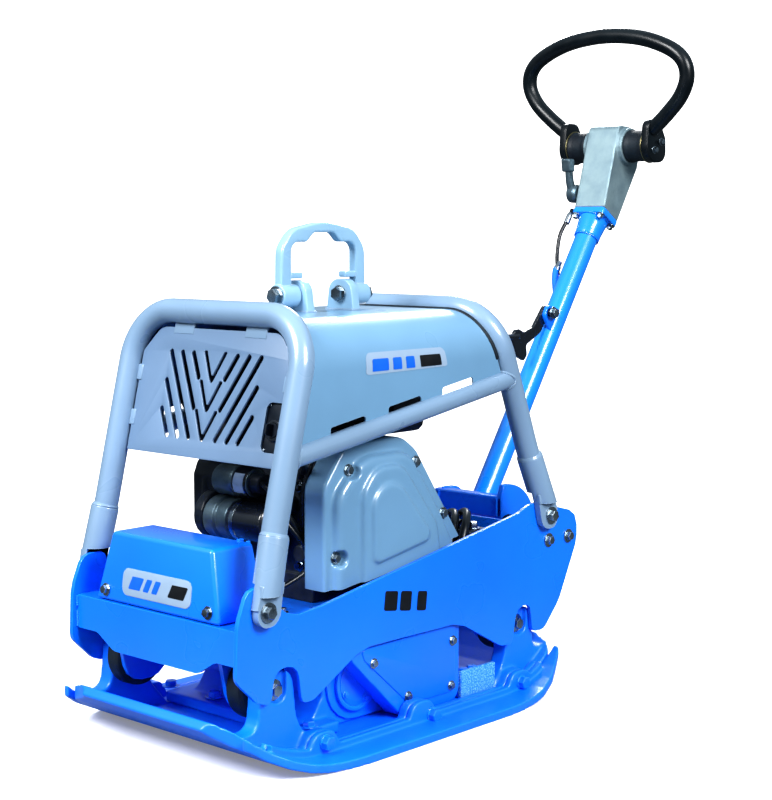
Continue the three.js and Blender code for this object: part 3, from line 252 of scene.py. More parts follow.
def sanded(name, colour, bright):
    """Paint over a raw sand-cast face: speckled and matt."""
    return patchy(name, (colour, bright), (330, 2, 0.6, 0.48, 0.62), (60, 3, 0.4, 0.6),
                  (330, 3, 0.6, 0.6, 0.004))


# The second colour of each paint is its painted edge highlight.
BLUE = paint("blue_paint", (0.003, 0.185, 1.0), (0.02, 0.42, 1.0), 260, 0.0003, 0.28)
BLUE_CAST = paint("blue_cast_paint", (0.003, 0.190, 1.0), (0.02, 0.44, 1.0), 170, 0.0012, 0.36, 3.0, 0.2)
# A lighter, more cyan copy of the blue paint for the drawbar tube: painted sheen of the lights.
BLUE_PAINTED_SHEEN = paint("blue_paint_with_painted_sheen", (0.006, 0.26, 1.0), (0.04, 0.5, 1.0), 260, 0.0003, 0.26)
GREY = paint("grey_paint", (0.195, 0.295, 0.425), (0.36, 0.48, 0.60), 260, 0.0003, 0.28)
# A darker copy of the grey paint for the grille: painted shade, as its front face takes less light.
GREY_PAINTED_SHADE = paint("grey_paint_with_painted_shade", (0.14, 0.22, 0.345), (0.3, 0.42, 0.54), 230, 0.0002, 0.34, 1.4, 0.25)
GREY_LIGHT = paint("grey_light_paint", (0.27, 0.45, 0.62), (0.5, 0.62, 0.74), 260, 0.0003, 0.28)
GREY_PRESSED = paint("grey_pressed_paint", (0.15, 0.295, 0.455), (0.34, 0.46, 0.58), 190, 0.0003, 0.3, 1.2,
                     0.4)
BLACK_COAT = paint("black_coat", (0.003, 0.005, 0.010), (0.02, 0.028, 0.036), 320, 0.0002, 0.26)
ZINC = metal("zinc_steel", (0.34, 0.40, 0.44), (0.16, 0.19, 0.22), 0.15, 420, 0.0001)
STEEL = metal("machined_steel", (0.34, 0.37, 0.40), (0.18, 0.20, 0.22), 0.2, 500, 0.0001)
BRASS = metal("yellow_plated", (0.36, 0.31, 0.16), (0.20, 0.19, 0.12), 0.3, 400, 0.0002)
IRON = metal("cast_iron", (0.016, 0.022, 0.034), (0.04, 0.052, 0.07), 0.4, 240, 0.0008, 0.65)
ALUMINIUM = metal("cast_aluminium", (0.25, 0.34, 0.37), (0.19, 0.27, 0.31), 0.42, 620, 0.0012, 0.6)
RUBBER = dull("black_rubber", (0.002, 0.005, 0.010), (0.009, 0.020, 0.030), 0.60, 230, 0.0012)
PLASTIC = dull("black_plastic", (0.003, 0.006, 0.012), (0.012, 0.018, 0.028), 0.42, 420, 0.0003)
BLUE_ROUGH = sanded("blue_rough_cast", (0.02, 0.25, 0.85), (0.25, 0.62, 0.95))
LABEL = dull("label_sheet", (0.27, 0.36, 0.48), (0.25, 0.34, 0.46), 0.45, 300, 0.00005)
LABEL_BLUE = dull("label_blue", (0.004, 0.11, 0.60), (0.008, 0.13, 0.60), 0.45, 300, 0.00005)
LABEL_DARK = dull("label_dark", (0.003, 0.004, 0.006), (0.006, 0.007, 0.009), 0.45, 300, 0.00005)
HANDLE_BLACK = dull("handle_coat", (0.001, 0.003, 0.005), (0.003, 0.007, 0.010), 0.34, 300, 0.00002)
ALUMINIUM_DARK = metal("dark_cast_aluminium", (0.12, 0.17, 0.2), (0.07, 0.11, 0.135), 0.28, 500, 0.0004, 0.75)
CABLE = dull("cable_sheath", (0.003, 0.005, 0.008), (0.012, 0.016, 0.02), 0.3, 500, 0.0001)

# Each CAD slot with the finishes that go on it; CAD nodes that are shown as they are take the first.
SLOTS = {
    "blue_paint": (BLUE, BLUE_CAST, BLUE_PAINTED_SHEEN, BLUE_ROUGH, LABEL_BLUE),
    "grey_paint": (GREY, GREY_PAINTED_SHADE, GREY_LIGHT, GREY_PRESSED),
    "black_coat": (BLACK_COAT, HANDLE_BLACK, LABEL_DARK),
    "black_plastic": (PLASTIC,),
    "rubber": (RUBBER, CABLE),
    "steel": (STEEL, ZINC, BRASS),
    "iron": (IRON,),
    "aluminium": (ALUMINIUM, ALUMINIUM_DARK, LABEL),
}


# ---- outlines and paths
ARC_STEP = math.radians(7.5)
HOOP_STEP = math.radians(5)
COARSE_STEP = math.radians(22)
CORNER_SHARE = 0.48  # the most of a side that one corner's arc may take


def rounded(corners, closed=True, step=ARC_STEP):
    """Corners (u, v, radius) as points, with each corner turned into an arc."""
    points = []
    count = len(corners)
    for index, corner in enumerate(corners):
        here = Vector(corner[:2])
        radius = corner[2] if len(corner) > 2 else 0
        if radius <= 0 or (not closed and index in (0, count - 1)):
            points.append(here)
            continue
        before = Vector(corners[index - 1][:2]) - here
        after = Vector(corners[(index + 1) % count][:2]) - here
        half = before.angle(after) / 2
        reach = min(radius / math.tan(half), CORNER_SHARE * min(before.length, after.length))
        bend = reach * math.tan(half)
        centre = here + (before.normalized() + after.normalized()).normalized() * (bend / math.sin(half))
        arm = here + before.normalized() * reach - centre
        sweep = math.pi - 2 * half
        if before.cross(after) > 0:
            sweep = -sweep
        steps = max(2, math.ceil(abs(sweep) / step))
        for k in range(steps + 1):
            points.append(centre + Matrix.Rotation(sweep * k / steps, 2) @ arm)
    return points


def panel(u0, v0, u1, v1, radius=0.0):
    """The outline of a rectangle with rounded corners."""
    return rounded([(u0, v0, radius), (u1, v0, radius), (u1, v1, radius), (u0, v1, radius)])


def turns(count, first=0.0):
    """Angles spread evenly round a full turn."""
    return [first + 2 * math.pi * k / count for k in range(count)]


def ring(u, v, radius, sides=32, first=0.0):
    return [Vector((u + radius * math.cos(turn), v + radius * math.sin(turn)))
            for turn in turns(sides, first)]


def arc(radius, start, end, steps=16):
    spread = [start + (end - start) * k / steps for k in range(steps + 1)]
    return [Vector((radius * math.cos(turn), radius * math.sin(turn))) for turn in spread]


def disc(radius, start, end, first=0.0, last=0.0):
    """The profile of a solid cylinder for lathe(), with the rounding of its two rims."""
    return [(0, start), (radius, start, first), (radius, end, last), (0, end)]


def pipe(inner, outer, start, end, edge):
    """The profile of a hollow cylinder for lathe()."""
    return [(inner, start), (outer, start, edge), (outer, end, edge), (inner, end), (inner, start)]


def area(loop):
    return sum(a.cross(b) for a, b in zip(loop, loop[1:] + loop[:1])) / 2


def turned(loop, anticlockwise):
    return loop if (area(loop) > 0) == anticlockwise else loop[::-1]


def shrunk(loop, inset):
    """The loop moved to its left by inset, with mitred corners."""
    moved_in = []
    count = len(loop)
    for index, here in enumerate(loop):
        before = (here - loop[index - 1]).normalized()
        after = (loop[(index + 1) % count] - here).normalized()
        normal = Vector((-before.y - after.y, before.x + after.x))
        if normal.length < 1e-6:
            normal = Vector((-before.y, before.x))
        normal.normalize()
        stretch = max(0.4, normal.dot(Vector((-after.y, after.x))))
        moved_in.append(here + normal * (inset / stretch))
    return moved_in


def bent(corners, bends, step):
    """Corner points in space joined by straight runs and circular bends."""
    points = [Vector(corners[0])]
    for before, here, after, radius in zip(corners, corners[1:], corners[2:], bends):
        inward = (Vector(before) - Vector(here)).normalized()
        onward = (Vector(after) - Vector(here)).normalized()
        half = inward.angle(onward) / 2
        centre = Vector(here) + (inward + onward).normalized() * (radius / math.sin(half))
        arm = Vector(here) + inward * (radius / math.tan(half)) - centre
        axis = inward.cross(onward).normalized()
        sweep = -(math.pi - 2 * half)
        steps = max(2, math.ceil(abs(sweep) / step))
        for k in range(steps + 1):
            points.append(centre + Quaternion(axis, sweep * k / steps) @ arm)
    points.append(Vector(corners[-1]))
    return points


def smooth_path(points, steps=10):
    """A Catmull-Rom curve through the points, for hoses and cables."""
    points = [Vector(p) for p in points]
    padded = [2 * points[0] - points[1], *points, 2 * points[-1] - points[-2]]
    path = []
    for a, b, c, d in zip(padded, padded[1:], padded[2:], padded[3:]):
        for k in range(steps):
            t = k / steps
            path.append(0.5 * (2 * b + (c - a) * t + (2 * a - 5 * b + 4 * c - d) * t ** 2
                               + (3 * b - a - 3 * c + d) * t ** 3))
    path.append(points[-1])
    return path


# ---- solids: (points, faces) pairs
def moved(solid, matrix):
    points, faces = solid
    return [matrix @ point for point in points], faces


def mirrored(solid):
    points, faces = solid
    return [Vector((-p.x, p.y, p.z)) for p in points], [face[::-1] for face in faces]


SIDES = (("right", lambda solid: solid), ("left", mirrored))


def both(solids):
    return [*solids, *map(mirrored, solids)]


def band_faces(first, second, count, closed=True):
    """Quads between two rows of points that start at the given indices."""
    return [(first + k, first + (k + 1) % count, second + (k + 1) % count, second + k)
            for k in range(count if closed else count - 1)]


AXIS_MAPS = {
    "x": Matrix(((0, 0, 1, 0), (1, 0, 0, 0), (0, 1, 0, 0), (0, 0, 0, 1))),
    "y": Matrix(((1, 0, 0, 0), (0, 0, -1, 0), (0, 1, 0, 0), (0, 0, 0, 1))),
    "z": Matrix.Identity(4),
}


def slab(loops, axis, start, end, edge=0.8, rounds=3):
    """A flat piece across an axis from start to end; the first loop is its rim, the rest are holes.

    Loops are (y, z), (x, z) or (x, y) for axis x, y or z. Its edges are rounded by edge."""
    loops = [turned(loop, index == 0) for index, loop in enumerate(loops)]
    sign = -1 if axis == "y" else 1
    bottom, top = sorted((sign * start, sign * end))
    quarter = [math.pi / 2 * k / rounds for k in range(rounds + 1)]
    lower = [(edge * (1 - math.sin(t)), bottom + edge * (1 - math.cos(t))) for t in quarter]
    upper = [(inset, top + bottom - height) for inset, height in reversed(lower)]
    levels = lower + upper if edge > 0 else [(0, bottom), (0, top)]
    points, faces, rims = [], [], {0: [], len(levels) - 1: []}
    for loop in loops:
        count = len(loop)
        for number, (inset, height) in enumerate(levels):
            first = len(points)
            points.extend(Vector((p.x, p.y, height)) for p in shrunk(loop, inset))
            if number:
                faces.extend(band_faces(first - count, first, count))
            if number in rims:
                rims[number].append(range(first, first + count))
    for number, indices in rims.items():
        flat = [index for rim in indices for index in rim]
        corners = [[Vector((*points[index].xy, 0)) for index in rim] for rim in indices]
        for triangle in tessellate_polygon(corners):
            face = tuple(flat[corner] for corner in triangle)
            upward = area([points[index].xy for index in face]) > 0
            faces.append(face if upward == (number > 0) else face[::-1])
    return moved((points, faces), AXIS_MAPS[axis])


def placed(solid, origin, axis):
    """Turns a solid drawn along +Z onto an axis that leaves the origin."""
    turn = Z.rotation_difference(Vector(axis)).to_matrix().to_4x4()
    return moved(solid, Matrix.Translation(origin) @ turn)


def lathe(profile, origin, axis, sides=40):
    """Turns (radius, height, corner radius) points round an axis that leaves the origin."""
    points, faces, rows = [], [], []
    for radius, height in rounded(profile, closed=False, step=COARSE_STEP):
        first = len(points)
        if radius < 1e-6:
            points.append(Vector((0, 0, height)))
            rows.append([first] * sides)
            continue
        points.extend(Vector((*spot, height)) for spot in ring(0, 0, radius, sides))
        rows.append(range(first, first + sides))
    for here, beyond in zip(rows, rows[1:]):
        for k in range(sides):
            after = (k + 1) % sides
            face = dict.fromkeys((here[k], here[after], beyond[after], beyond[k]))
            if len(face) > 2:
                faces.append(tuple(face))
    return placed((points, faces), origin, axis)


def sweep(path, radius, sides=20, cap_round=0.0):
    """A round bar along a path. radius may be a number or a function of the share of the path."""
    path = [point for k, point in enumerate(path) if k == 0 or (point - path[k - 1]).length > 1e-4]
    count = len(path)
    size = radius if callable(radius) else (lambda share: radius)
    tangents = [(path[min(k + 1, count - 1)] - path[max(k - 1, 0)]).normalized() for k in range(count)]
    side = tangents[0].orthogonal().normalized()
    points, faces = [], []
    for index, (centre, tangent) in enumerate(zip(path, tangents)):
        if index:
            side = tangents[index - 1].rotation_difference(tangent) @ side
            faces.extend(band_faces(len(points) - sides, len(points), sides))
        other = tangent.cross(side)
        rim = ring(0, 0, size(index / (count - 1)), sides)
        points.extend(centre + side * spot.x + other * spot.y for spot in rim)
    for start, tangent, order in ((0, -tangents[0], -1), (len(points) - sides, tangents[-1], 1)):
        if cap_round:
            rim = points[start:start + sides]
            centre = sum(rim, Vector()) / sides
            faces.extend(quad[::order] for quad in band_faces(start, len(points), sides))
            start = len(points)
            points.extend(centre + (point - centre) * 0.8 + tangent * cap_round for point in rim)
        faces.append(tuple(range(start, start + sides))[::order])
    return points, faces


def hex_bolt(place, axis, across=13.0, height=6.5, washer=1.6, collar=1.7, turn=0.0):
    """A bolt head seen from outside: washer, hexagon with a chamfered crown, standing on a face."""
    corner, rim = across / math.sqrt(3), across * collar / 2
    points, faces = [], []
    rows = ((corner, 0), (corner, height * 0.84), (corner * 0.9, height * 0.97), (corner * 0.55, height))
    for row, (radius, level) in enumerate(rows):
        if row:
            faces.extend(band_faces(row * 6 - 6, row * 6, 6))
        points.extend(Vector((*spot, washer + level)) for spot in ring(0, 0, radius, 6, turn))
    faces.append(tuple(range(5, -1, -1)))
    faces.append(tuple(range(len(points) - 6, len(points))))
    return [lathe(disc(rim, 0, washer, 0.3, 0.5), place, axis, 28), placed((points, faces), place, axis)]


def weld(path, width=4.0, pitch=3.2):
    """A weld bead along a path: overlapping scales."""
    dense = []
    for a, b in zip(path, path[1:]):
        steps = max(1, math.ceil((b - a).length / (pitch / 4)))
        dense.extend(a.lerp(b, k / steps) for k in range(steps))
    dense.append(path[-1])
    length = sum((b - a).length for a, b in zip(dense, dense[1:]))
    scales = length * math.pi / pitch
    return sweep(dense, lambda share: width * (0.82 + 0.18 * abs(math.sin(share * scales))), 10)


def block(low_corner, high_corner, edge=1.0):
    """A rounded block between two corners."""
    (x0, y0, z0), (x1, y1, z1) = low_corner, high_corner
    return slab([panel(x0, y0, x1, y1, edge)], "z", z0, z1, edge)


def hexahedron(bottom, top):
    """A solid between four bottom corners and four top corners, both anticlockwise from above."""
    points = [Vector(corner) for corner in (*bottom, *top)]
    return points, [(3, 2, 1, 0), (4, 5, 6, 7), *band_faces(0, 4, 4)]


# ---- pieces
def mesh_of(name, solids, sharp):
    points, faces = [], []
    for solid_points, solid_faces in solids:
        first = len(points)
        points.extend(point * MM for point in solid_points)
        faces.extend([index + first for index in face] for face in solid_faces)
    mesh = bpy.data.meshes.new(name)
    mesh.from_pydata(points, [], faces)
    finish_mesh(mesh, sharp)
    return mesh


def finish_mesh(mesh, sharp=SHARP):
    work = bmesh.new()
    work.from_mesh(mesh)
    bmesh.ops.remove_doubles(work, verts=work.verts, dist=1e-6)
    bmesh.ops.dissolve_degenerate(work, edges=work.edges, dist=1e-7)
    bmesh.ops.recalc_face_normals(work, faces=work.faces)
    work.to_mesh(mesh)
    work.free()
    mesh.shade_smooth()
    mesh.set_sharp_from_angle(angle=math.radians(sharp))


def linked(name, mesh):
    made = bpy.data.objects.new(name, mesh)
    bpy.context.scene.collection.objects.link(made)
    return made


def body_of(node):
    return frame["nodes"][node]["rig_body"]


def dress(made, material, body):
    """Gives a piece its finish and its body."""
    made.data.materials.clear()
    made.data.materials.append(material)
    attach(made, body)


def piece(name, solids, material, body="frame", replaces=None):
    """Joins solids into one object; one that replaces a CAD node rides on that node's body."""
    made = linked(name, mesh_of(name, solids, SHARP))
    dress(made, material, body_of(replaces) if replaces else body)
    if replaces:
        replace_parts(made, replaces)
    return made


def bolts(name, places, axis, across, height=None, washer=1.6, collar=1.7, turn=0.0, material=ZINC,
          body="frame", paired=False, lay=lambda solid: solid):
    """Bolt heads as one piece: laid in place, and with their mirror images where they are paired."""
    size = (across, height or across * 0.5, washer, collar, turn)
    heads = [lay(solid) for place in places for solid in hex_bolt(place, axis, *size)]
    return piece(name, both(heads) if paired else heads, material, body)


def bake(target, kind, **settings):
    """Applies a modifier to a piece's mesh."""
    modifier = target.modifiers.new("bake", kind)
    for key, value in settings.items():
        setattr(modifier, key, value)
    result = bpy.data.meshes.new_from_object(target.evaluated_get(bpy.context.evaluated_depsgraph_get()))
    target.modifiers.remove(modifier)
    target.data = result


def carve(target, solids, spared=()):
    """Cuts solids out of a piece, apart from the spared solids, and keeps the result as its mesh."""
    cutter = linked("cutter", mesh_of("cutter", solids, SHARP))
    for solid in spared:
        carve(cutter, [solid])
    bake(target, "BOOLEAN", operation="DIFFERENCE", object=cutter, solver="EXACT")
    bpy.data.objects.remove(cutter)
    finish_mesh(target.data)


def soften(target, width, segments):
    """Rounds the sharp edges of a piece."""
    bake(target, "BEVEL", width=width * MM, segments=segments, limit_method="ANGLE",
         angle_limit=math.radians(SHARP), harden_normals=False)
    finish_mesh(target.data)


def melted(target, voxel, rounds=0):
    """Runs edges and corners into soft fillets."""
    bake(target, "REMESH", mode="VOXEL", voxel_size=voxel * MM, use_smooth_shade=True)
    if rounds:
        bake(target, "SMOOTH", factor=0.5, iterations=rounds)


def cast(node, name, material, voxel, rounds):
    """A casting: the CAD solid with its edges and corners run into soft fillets."""
    made = linked(name, frame["nodes"][node].data.copy())
    melted(made, voxel, rounds)
    finish_mesh(made.data, 60)
    dress(made, material, body_of(node))
    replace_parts(made, node)


def keep_node(node, material):
    """A CAD node that is shown as it is, with eased edges and a finished material."""
    shown = frame["nodes"][node]
    mesh = shown.data
    if "custom_normal" in mesh.attributes:
        mesh.attributes.remove(mesh.attributes["custom_normal"])
    mesh.materials.clear()
    mesh.materials.append(material)
    mesh.shade_smooth()
    mesh.set_sharp_from_angle(angle=math.radians(SHARP))
    shown.modifiers.new("merge", "WELD").merge_threshold = 0.01 * MM
    bevel = shown.modifiers.new("edge", "BEVEL")
    bevel.width = KEPT_EDGE * MM
    bevel.segments = 2
    bevel.limit_method = "ANGLE"
    bevel.angle_limit = math.radians(SHARP)
    shown.modifiers.new("flats", "WEIGHTED_NORMAL").keep_sharp = True


# ---- protective frame
FOOT_SLEEVE = {"radius": HOOP_RADIUS + 3.4, "length": 116, "tongue": 44, "lean_in": 2}
RAIL_SINK = 1.5


def hoop_path(hoop):
    foot_x, top_x, foot_z = hoop["foot_x"], hoop["top_x"], hoop["foot"][1]
    half = [(foot_x, foot_z), (top_x, foot_z + KNEE_RISE), (top_x, hoop["top_z"])]
    spots = [(-x, z) for x, z in half] + half[::-1]
    return bent([hoop_point(hoop, *spot) for spot in spots], [KNEE_BEND, HOOP_BEND, HOOP_BEND, KNEE_BEND],
                HOOP_STEP)


def hoop_foot(hoop):
    """Sleeve round the end of a leg, and the tongue that takes the foot bolt."""
    foot_y, foot_z = hoop["foot"]
    radius, reach = FOOT_SLEEVE["radius"], FOOT_SLEEVE["tongue"]
    start = hoop_point(hoop, hoop["foot_x"], foot_z)
    end = hoop_point(hoop, hoop["top_x"] + FOOT_SLEEVE["lean_in"], foot_z + FOOT_SLEEVE["length"])
    sleeve = lathe(disc(radius, 0, (end - start).length, 0, 2.5), start, (end - start).normalized())
    tip = hoop["lean"] * reach
    tongue = slab([rounded([
        (foot_y - radius, foot_z - radius, radius), (foot_y + radius, foot_z - radius, radius),
        (foot_y + radius + tip, foot_z + reach), (foot_y - radius + tip, foot_z + reach),
    ])], "x", PLATE_OUTER, hoop["foot_x"] + 12, 2.5)
    return sleeve, tongue


def build_hoop(name, hoop):
    foot_x, (foot_y, foot_z) = hoop["foot_x"], hoop["foot"]
    tube = piece(name + "_tube", [sweep(hoop_path(hoop), HOOP_RADIUS, 40)], GREY, replaces=name)
    sleeve, tongue = hoop_foot(hoop)
    feet = piece(name + "_feet", both([sleeve]), GREY)
    eyes = piece(name + "_foot_eyes", both([tongue]), GREY)
    bottom = foot_z - 60
    beside = panel(foot_y - 90, bottom, foot_y + 90, foot_z + 46)
    wall = slab([beside], "x", PLATE_INNER - 20, PLATE_OUTER + 0.3, 0)
    for target, depth in ((tube, 6), (feet, 8.4), (eyes, 9)):
        outside = panel(foot_y - 60, bottom, foot_y + 60, foot_z + 26)
        flat = slab([outside], "x", foot_x + depth, foot_x + 60, 0)
        for cutter in (wall, mirrored(wall), flat, mirrored(flat)):
            carve(target, [cutter])
    centre = hoop_point(hoop, hoop["top_x"] + FOOT_SLEEVE["lean_in"], foot_z + FOOT_SLEEVE["length"] + 1)
    inner = HOOP_RADIUS - 1
    bead = lathe([(inner, -2), (inner + 5.2, -2, 1.8), (inner + 1.4, 4.5, 0.5), (inner, 4.5), (inner, -2)],
                 centre, Vector((0, hoop["lean"], 1)).normalized())
    piece(name + "_welds", both([bead]), GREY)
    bolts(name + "_bolts", [(foot_x + 9.2, foot_y, foot_z)], X, 19, 9, 2.2, 1.75, 0.3, paired=True)


def build_rails():
    start, end = [hoop_y(hoop, z) for hoop, z in zip((FRONT_HOOP, REAR_HOOP), RAIL["meets"])]
    path = [Vector((RAIL["x"], y, rail_z(y))) for y in (start, end)]
    legs = [sweep([hoop_point(hoop, hoop["top_x"], z) for z in (430, 680)], HOOP_RADIUS - 0.5, 40)
            for hoop in (FRONT_HOOP, REAR_HOOP)]
    for side, flip in SIDES:
        rail = piece(f"hood_rail_{side}_tube", [flip(sweep(path, RAIL["radius"], 32))], GREY,
                     replaces=f"hood_rail_{side}")
        for leg in legs:
            carve(rail, [flip(leg)])
        keep_longest(rail)
        beads = [flip(rail_bead(FRONT_HOOP, start, 1)), flip(rail_bead(REAR_HOOP, end, -1))]
        piece(f"hood_rail_{side}_welds", beads, GREY)


def rail_bead(hoop, y, side):
    """Weld bead where a rail meets a hoop leg."""
    radius, centre = RAIL["radius"] + 0.8, Vector((RAIL["x"], y, rail_z(y)))
    along = Vector((0, 1, RAIL["slope"])).normalized()
    leg = Vector((0, hoop["lean"], 1)).normalized()
    front = (along - leg * along.dot(leg)).normalized()
    base = hoop_point(hoop, hoop["top_x"], rail_z(y))
    path = []
    for turn in [*turns(40), 2 * math.pi]:
        point = centre + (X * math.cos(turn) + along.cross(X).normalized() * math.sin(turn)) * radius
        depth = math.sqrt(max((HOOP_RADIUS + 0.6) ** 2 - (point.x - base.x) ** 2, 0))
        offset = point - base
        offset -= leg * offset.dot(leg)
        path.append(point + along * ((side * depth - offset.dot(front)) / along.dot(front)))
    return weld(path, 2.6)


def keep_longest(target):
    """Keeps only the loose part of a piece that reaches furthest along Y."""
    work = bmesh.new()
    work.from_mesh(target.data)
    seen, groups = set(), []
    for vertex in work.verts:
        if vertex in seen:
            continue
        group, queue = [], [vertex]
        seen.add(vertex)
        while queue:
            current = queue.pop()
            group.append(current)
            fresh = {edge.other_vert(current) for edge in current.link_edges} - seen
            seen |= fresh
            queue.extend(fresh)
        groups.append(group)
    kept = max(groups, key=lambda group: max(v.co.y for v in group) - min(v.co.y for v in group))
    spare = [vertex for group in groups if group is not kept for vertex in group]
    bmesh.ops.delete(work, geom=spare, context="VERTS")
    work.to_mesh(target.data)
    work.free()
    finish_mesh(target.data)


build_hoop("front_hoop", FRONT_HOOP)
build_hoop("rear_hoop", REAR_HOOP)
build_rails()


# ---- engine hood
HOOD_PASSES = 6


def hood_rim(inset):
    side, top, radius = HOOD["side"] - inset, HOOD["top"] - inset, HOOD["shoulder"] - inset
    half = rounded([(side, HOOD["bottom"]), (side, top, radius), (0, top)], closed=False, step=HOOP_STEP)
    return [*half, *[Vector((-p.x, p.y)) for p in reversed(half[:-1])]]


def hood_y(share, z):
    front, rear = hoop_y(FRONT_HOOP, z) + HOOD["front_gap"], hoop_y(REAR_HOOP, z) - HOOD["rear_gap"]
    return (1 - share) * front + share * rear


def hood_point(x, z, share):
    """A point of the hood section, laid between the leaning ends and on the sloping rails."""
    shoulder, level = HOOD["top"] - HOOD["shoulder"], z
    y = hood_y(share, level)
    if z < shoulder:
        for _ in range(HOOD_PASSES):
            y = hood_y(share, level)
            bottom = rail_z(y) + RAIL["radius"] - RAIL_SINK
            level = shoulder - (shoulder - z) * (shoulder - bottom) / (shoulder - HOOD["bottom"])
    return Vector((x, y, level))


def build_hood():
    columns = 40
    section = [*hood_rim(0), *reversed(hood_rim(HOOD["sheet"]))]
    count = len(section)
    points = [hood_point(p.x, p.y, column / columns) for column in range(columns + 1) for p in section]
    faces = []
    for column in range(columns):
        faces.extend(band_faces(column * count, column * count + count, count))
    for first, order in ((0, -1), (columns * count, 1)):
        for k in range(count // 2 - 1):
            faces.append((first + k, first + k + 1, first + count - 2 - k, first + count - 1 - k)[::order])
    hood = piece("engine_hood_sheet", [(points, faces)], GREY_PRESSED, replaces="engine_hood")
    half = 42
    for middle in (-150, -10, 130):
        base, rise = rail_z(middle) + RAIL["radius"], RAIL["slope"] * half
        loop = rounded([(middle - half, base - rise - 6), (middle + half, base + rise - 6),
                        (middle + half, base + rise + 11, 6), (middle - half, base - rise + 11, 6)])
        carve(hood, [slab([loop], "x", -260, 260, 0)])


build_hood()


# ---- grille and key switch
def on_grille(solid, height=0.0):
    """Lays a piece drawn upright about Y = 0 into the leaning plane of the front hoop."""
    tilt = Matrix.Rotation(-math.atan(FRONT_HOOP["lean"]), 4, "X")
    return moved(solid, Matrix.Translation((0, hoop_y(FRONT_HOOP, height) + 6, height)) @ tilt)


def capsule(start, end, half, side):
    (x0, z0), (x1, z1) = start, end
    along = Vector((x1 - x0, z1 - z0)).normalized() * half
    u, v = -along.y, along.x
    return rounded([(side * (x0 + u), z0 + v, half * 0.92), (side * (x0 - u), z0 - v, half * 0.92),
                    (side * (x1 - u), z1 - v, half * 0.92), (side * (x1 + u), z1 + v, half * 0.92)],
                   step=COARSE_STEP)


def grille_slots():
    """Chevron slots: bars that slope down to the middle column, and three arrowheads in it."""
    slope, top, bottom, edge, column = 0.57, 665, 517, 116, 31
    starts = [(edge - 29 * row, top) for row in range(3)] + [(edge + 1, top - 48.5 * row) for row in (1, 2)]
    loops = []
    for x, z in starts:
        fall = min((x - column) / slope, z - bottom)
        loops.extend(capsule((x, z), (x - slope * fall, z - fall), 5.2, side) for side in (1, -1))
    rise, reach, half = 49, 26, 4.6
    for apex in (518, 567, 616):
        high_z = apex + rise + 2
        loops.append(rounded([
            (-reach - half, high_z, 3), (-reach + half, high_z, 3), (0, apex + 8, 2),
            (reach - half, high_z, 3), (reach + half, high_z, 3), (0, apex - 9, 6),
        ], step=COARSE_STEP))
    return loops


def build_grille():
    half = 189
    rim = rounded([
        (-half, 488, 3), (half, 488, 3), (half, 512), (146, 512, 12), (146, 592, 12), (half, 592),
        (half, 660), (150, 703, 34), (-150, 703, 34), (-half, 660),
    ])
    stretch = Matrix.Scale(math.hypot(1, FRONT_HOOP["lean"]), 4, Z)
    plate = moved(slab([rim, *grille_slots()], "y", -2, 2, 0.7, 2), stretch)
    # The grille takes the darker grey copy of the paint: painted shade.
    piece("grille_sheet", [on_grille(plate)], GREY_PAINTED_SHADE, replaces="grille_plate")
    places = ((-190, 560), (-190, 640), (186, 640))
    tabs = [block((x - 9, -4, z - 14), (x + 9, 3, z + 14), 2) for x, z in places]
    bridges = [block((x - 26, -3, 712), (x + 26, 2.4, 741), 2) for x in (-90, 92)]
    piece("grille_tabs", map(on_grille, [*tabs, *bridges]), GREY)


def build_key_switch():
    x, z = KEY_AXIS.x, KEY_AXIS.z
    shell = slab([panel(143, -41, 190, 49, 12), ring(x, 0, 13.5)], "y", 3.4, 60, 4)
    bezel = lathe([(13.4, 0), (19, 0, 2), (17, -5, 2), (13.4, -5), (13.4, 0)], (x, -1, 0), -Y, 40)
    screws = [lathe([(0, 0), (2.8, 0), (2.4, 1.6, 0.8), (0, 1.6)], (x + u, 3.4, v), -Y, 16)
              for u, v in ((-17, -33), (17, -33), (-17, 41), (17, 41))]
    piece("control_case", [on_grille(shell, z)], PLASTIC, replaces="control_box")
    piece("key_bezel", [on_grille(bezel, z)], BLACK_COAT)
    piece("control_screws", [on_grille(solid, z) for solid in screws], ZINC)


build_grille()
build_key_switch()


# ---- belt guard: three steps and a raised panel, melted into one pressing and hollowed from behind
GUARD = [
    (120, 172, 5, [(-166, 0), (206, 0), (150, 366, 40), (68, 484, 40), (30, 512, 60), (-112, 512, 40),
                   (-166, 440, 40)]),
    (160, 190, 14, [(-150, 0), (170, 0), (116, 372, 30), (34, 488, 60), (-84, 488, 80), (-150, 428, 60)]),
    (180, 199, 8, [(-97, 0), (110, 0), (96, 352, 20), (4, 469, 50), (-64, 469, 60), (-97, 428, 40)]),
]
GUARD_PANEL = [(-79, 300, 16), (81, 328, 14), (-4, 430, 38), (-40, 444, 36), (-79, 418, 38)]
GUARD_BOLTS = [(-109, 466), (62, 463), (137, 362), (-141, 319)]
GUARD_SHEET = 3


def guard_bottom(y):
    return 264 + 0.1425 * (y + 166)


def guard_layer(start, end, edge, corners, inset=0.0, drop=30.0):
    outline = []
    for corner in corners:
        y = corner[0] + (inset if corner[0] < -20 else -inset)
        level = corner[1] - inset if len(corner) > 2 else guard_bottom(corner[0]) - drop
        outline.append((y, level, *corner[2:]))
    return slab([rounded(outline)], "x", start, end, edge, 5)


def guard_cups(radius, mouth, depth, x, edge=0.0):
    return [lathe([(0, 0), (radius, 0, edge), (mouth, depth), (0, depth)], (x, *place), X, 32)
            for place in GUARD_BOLTS]


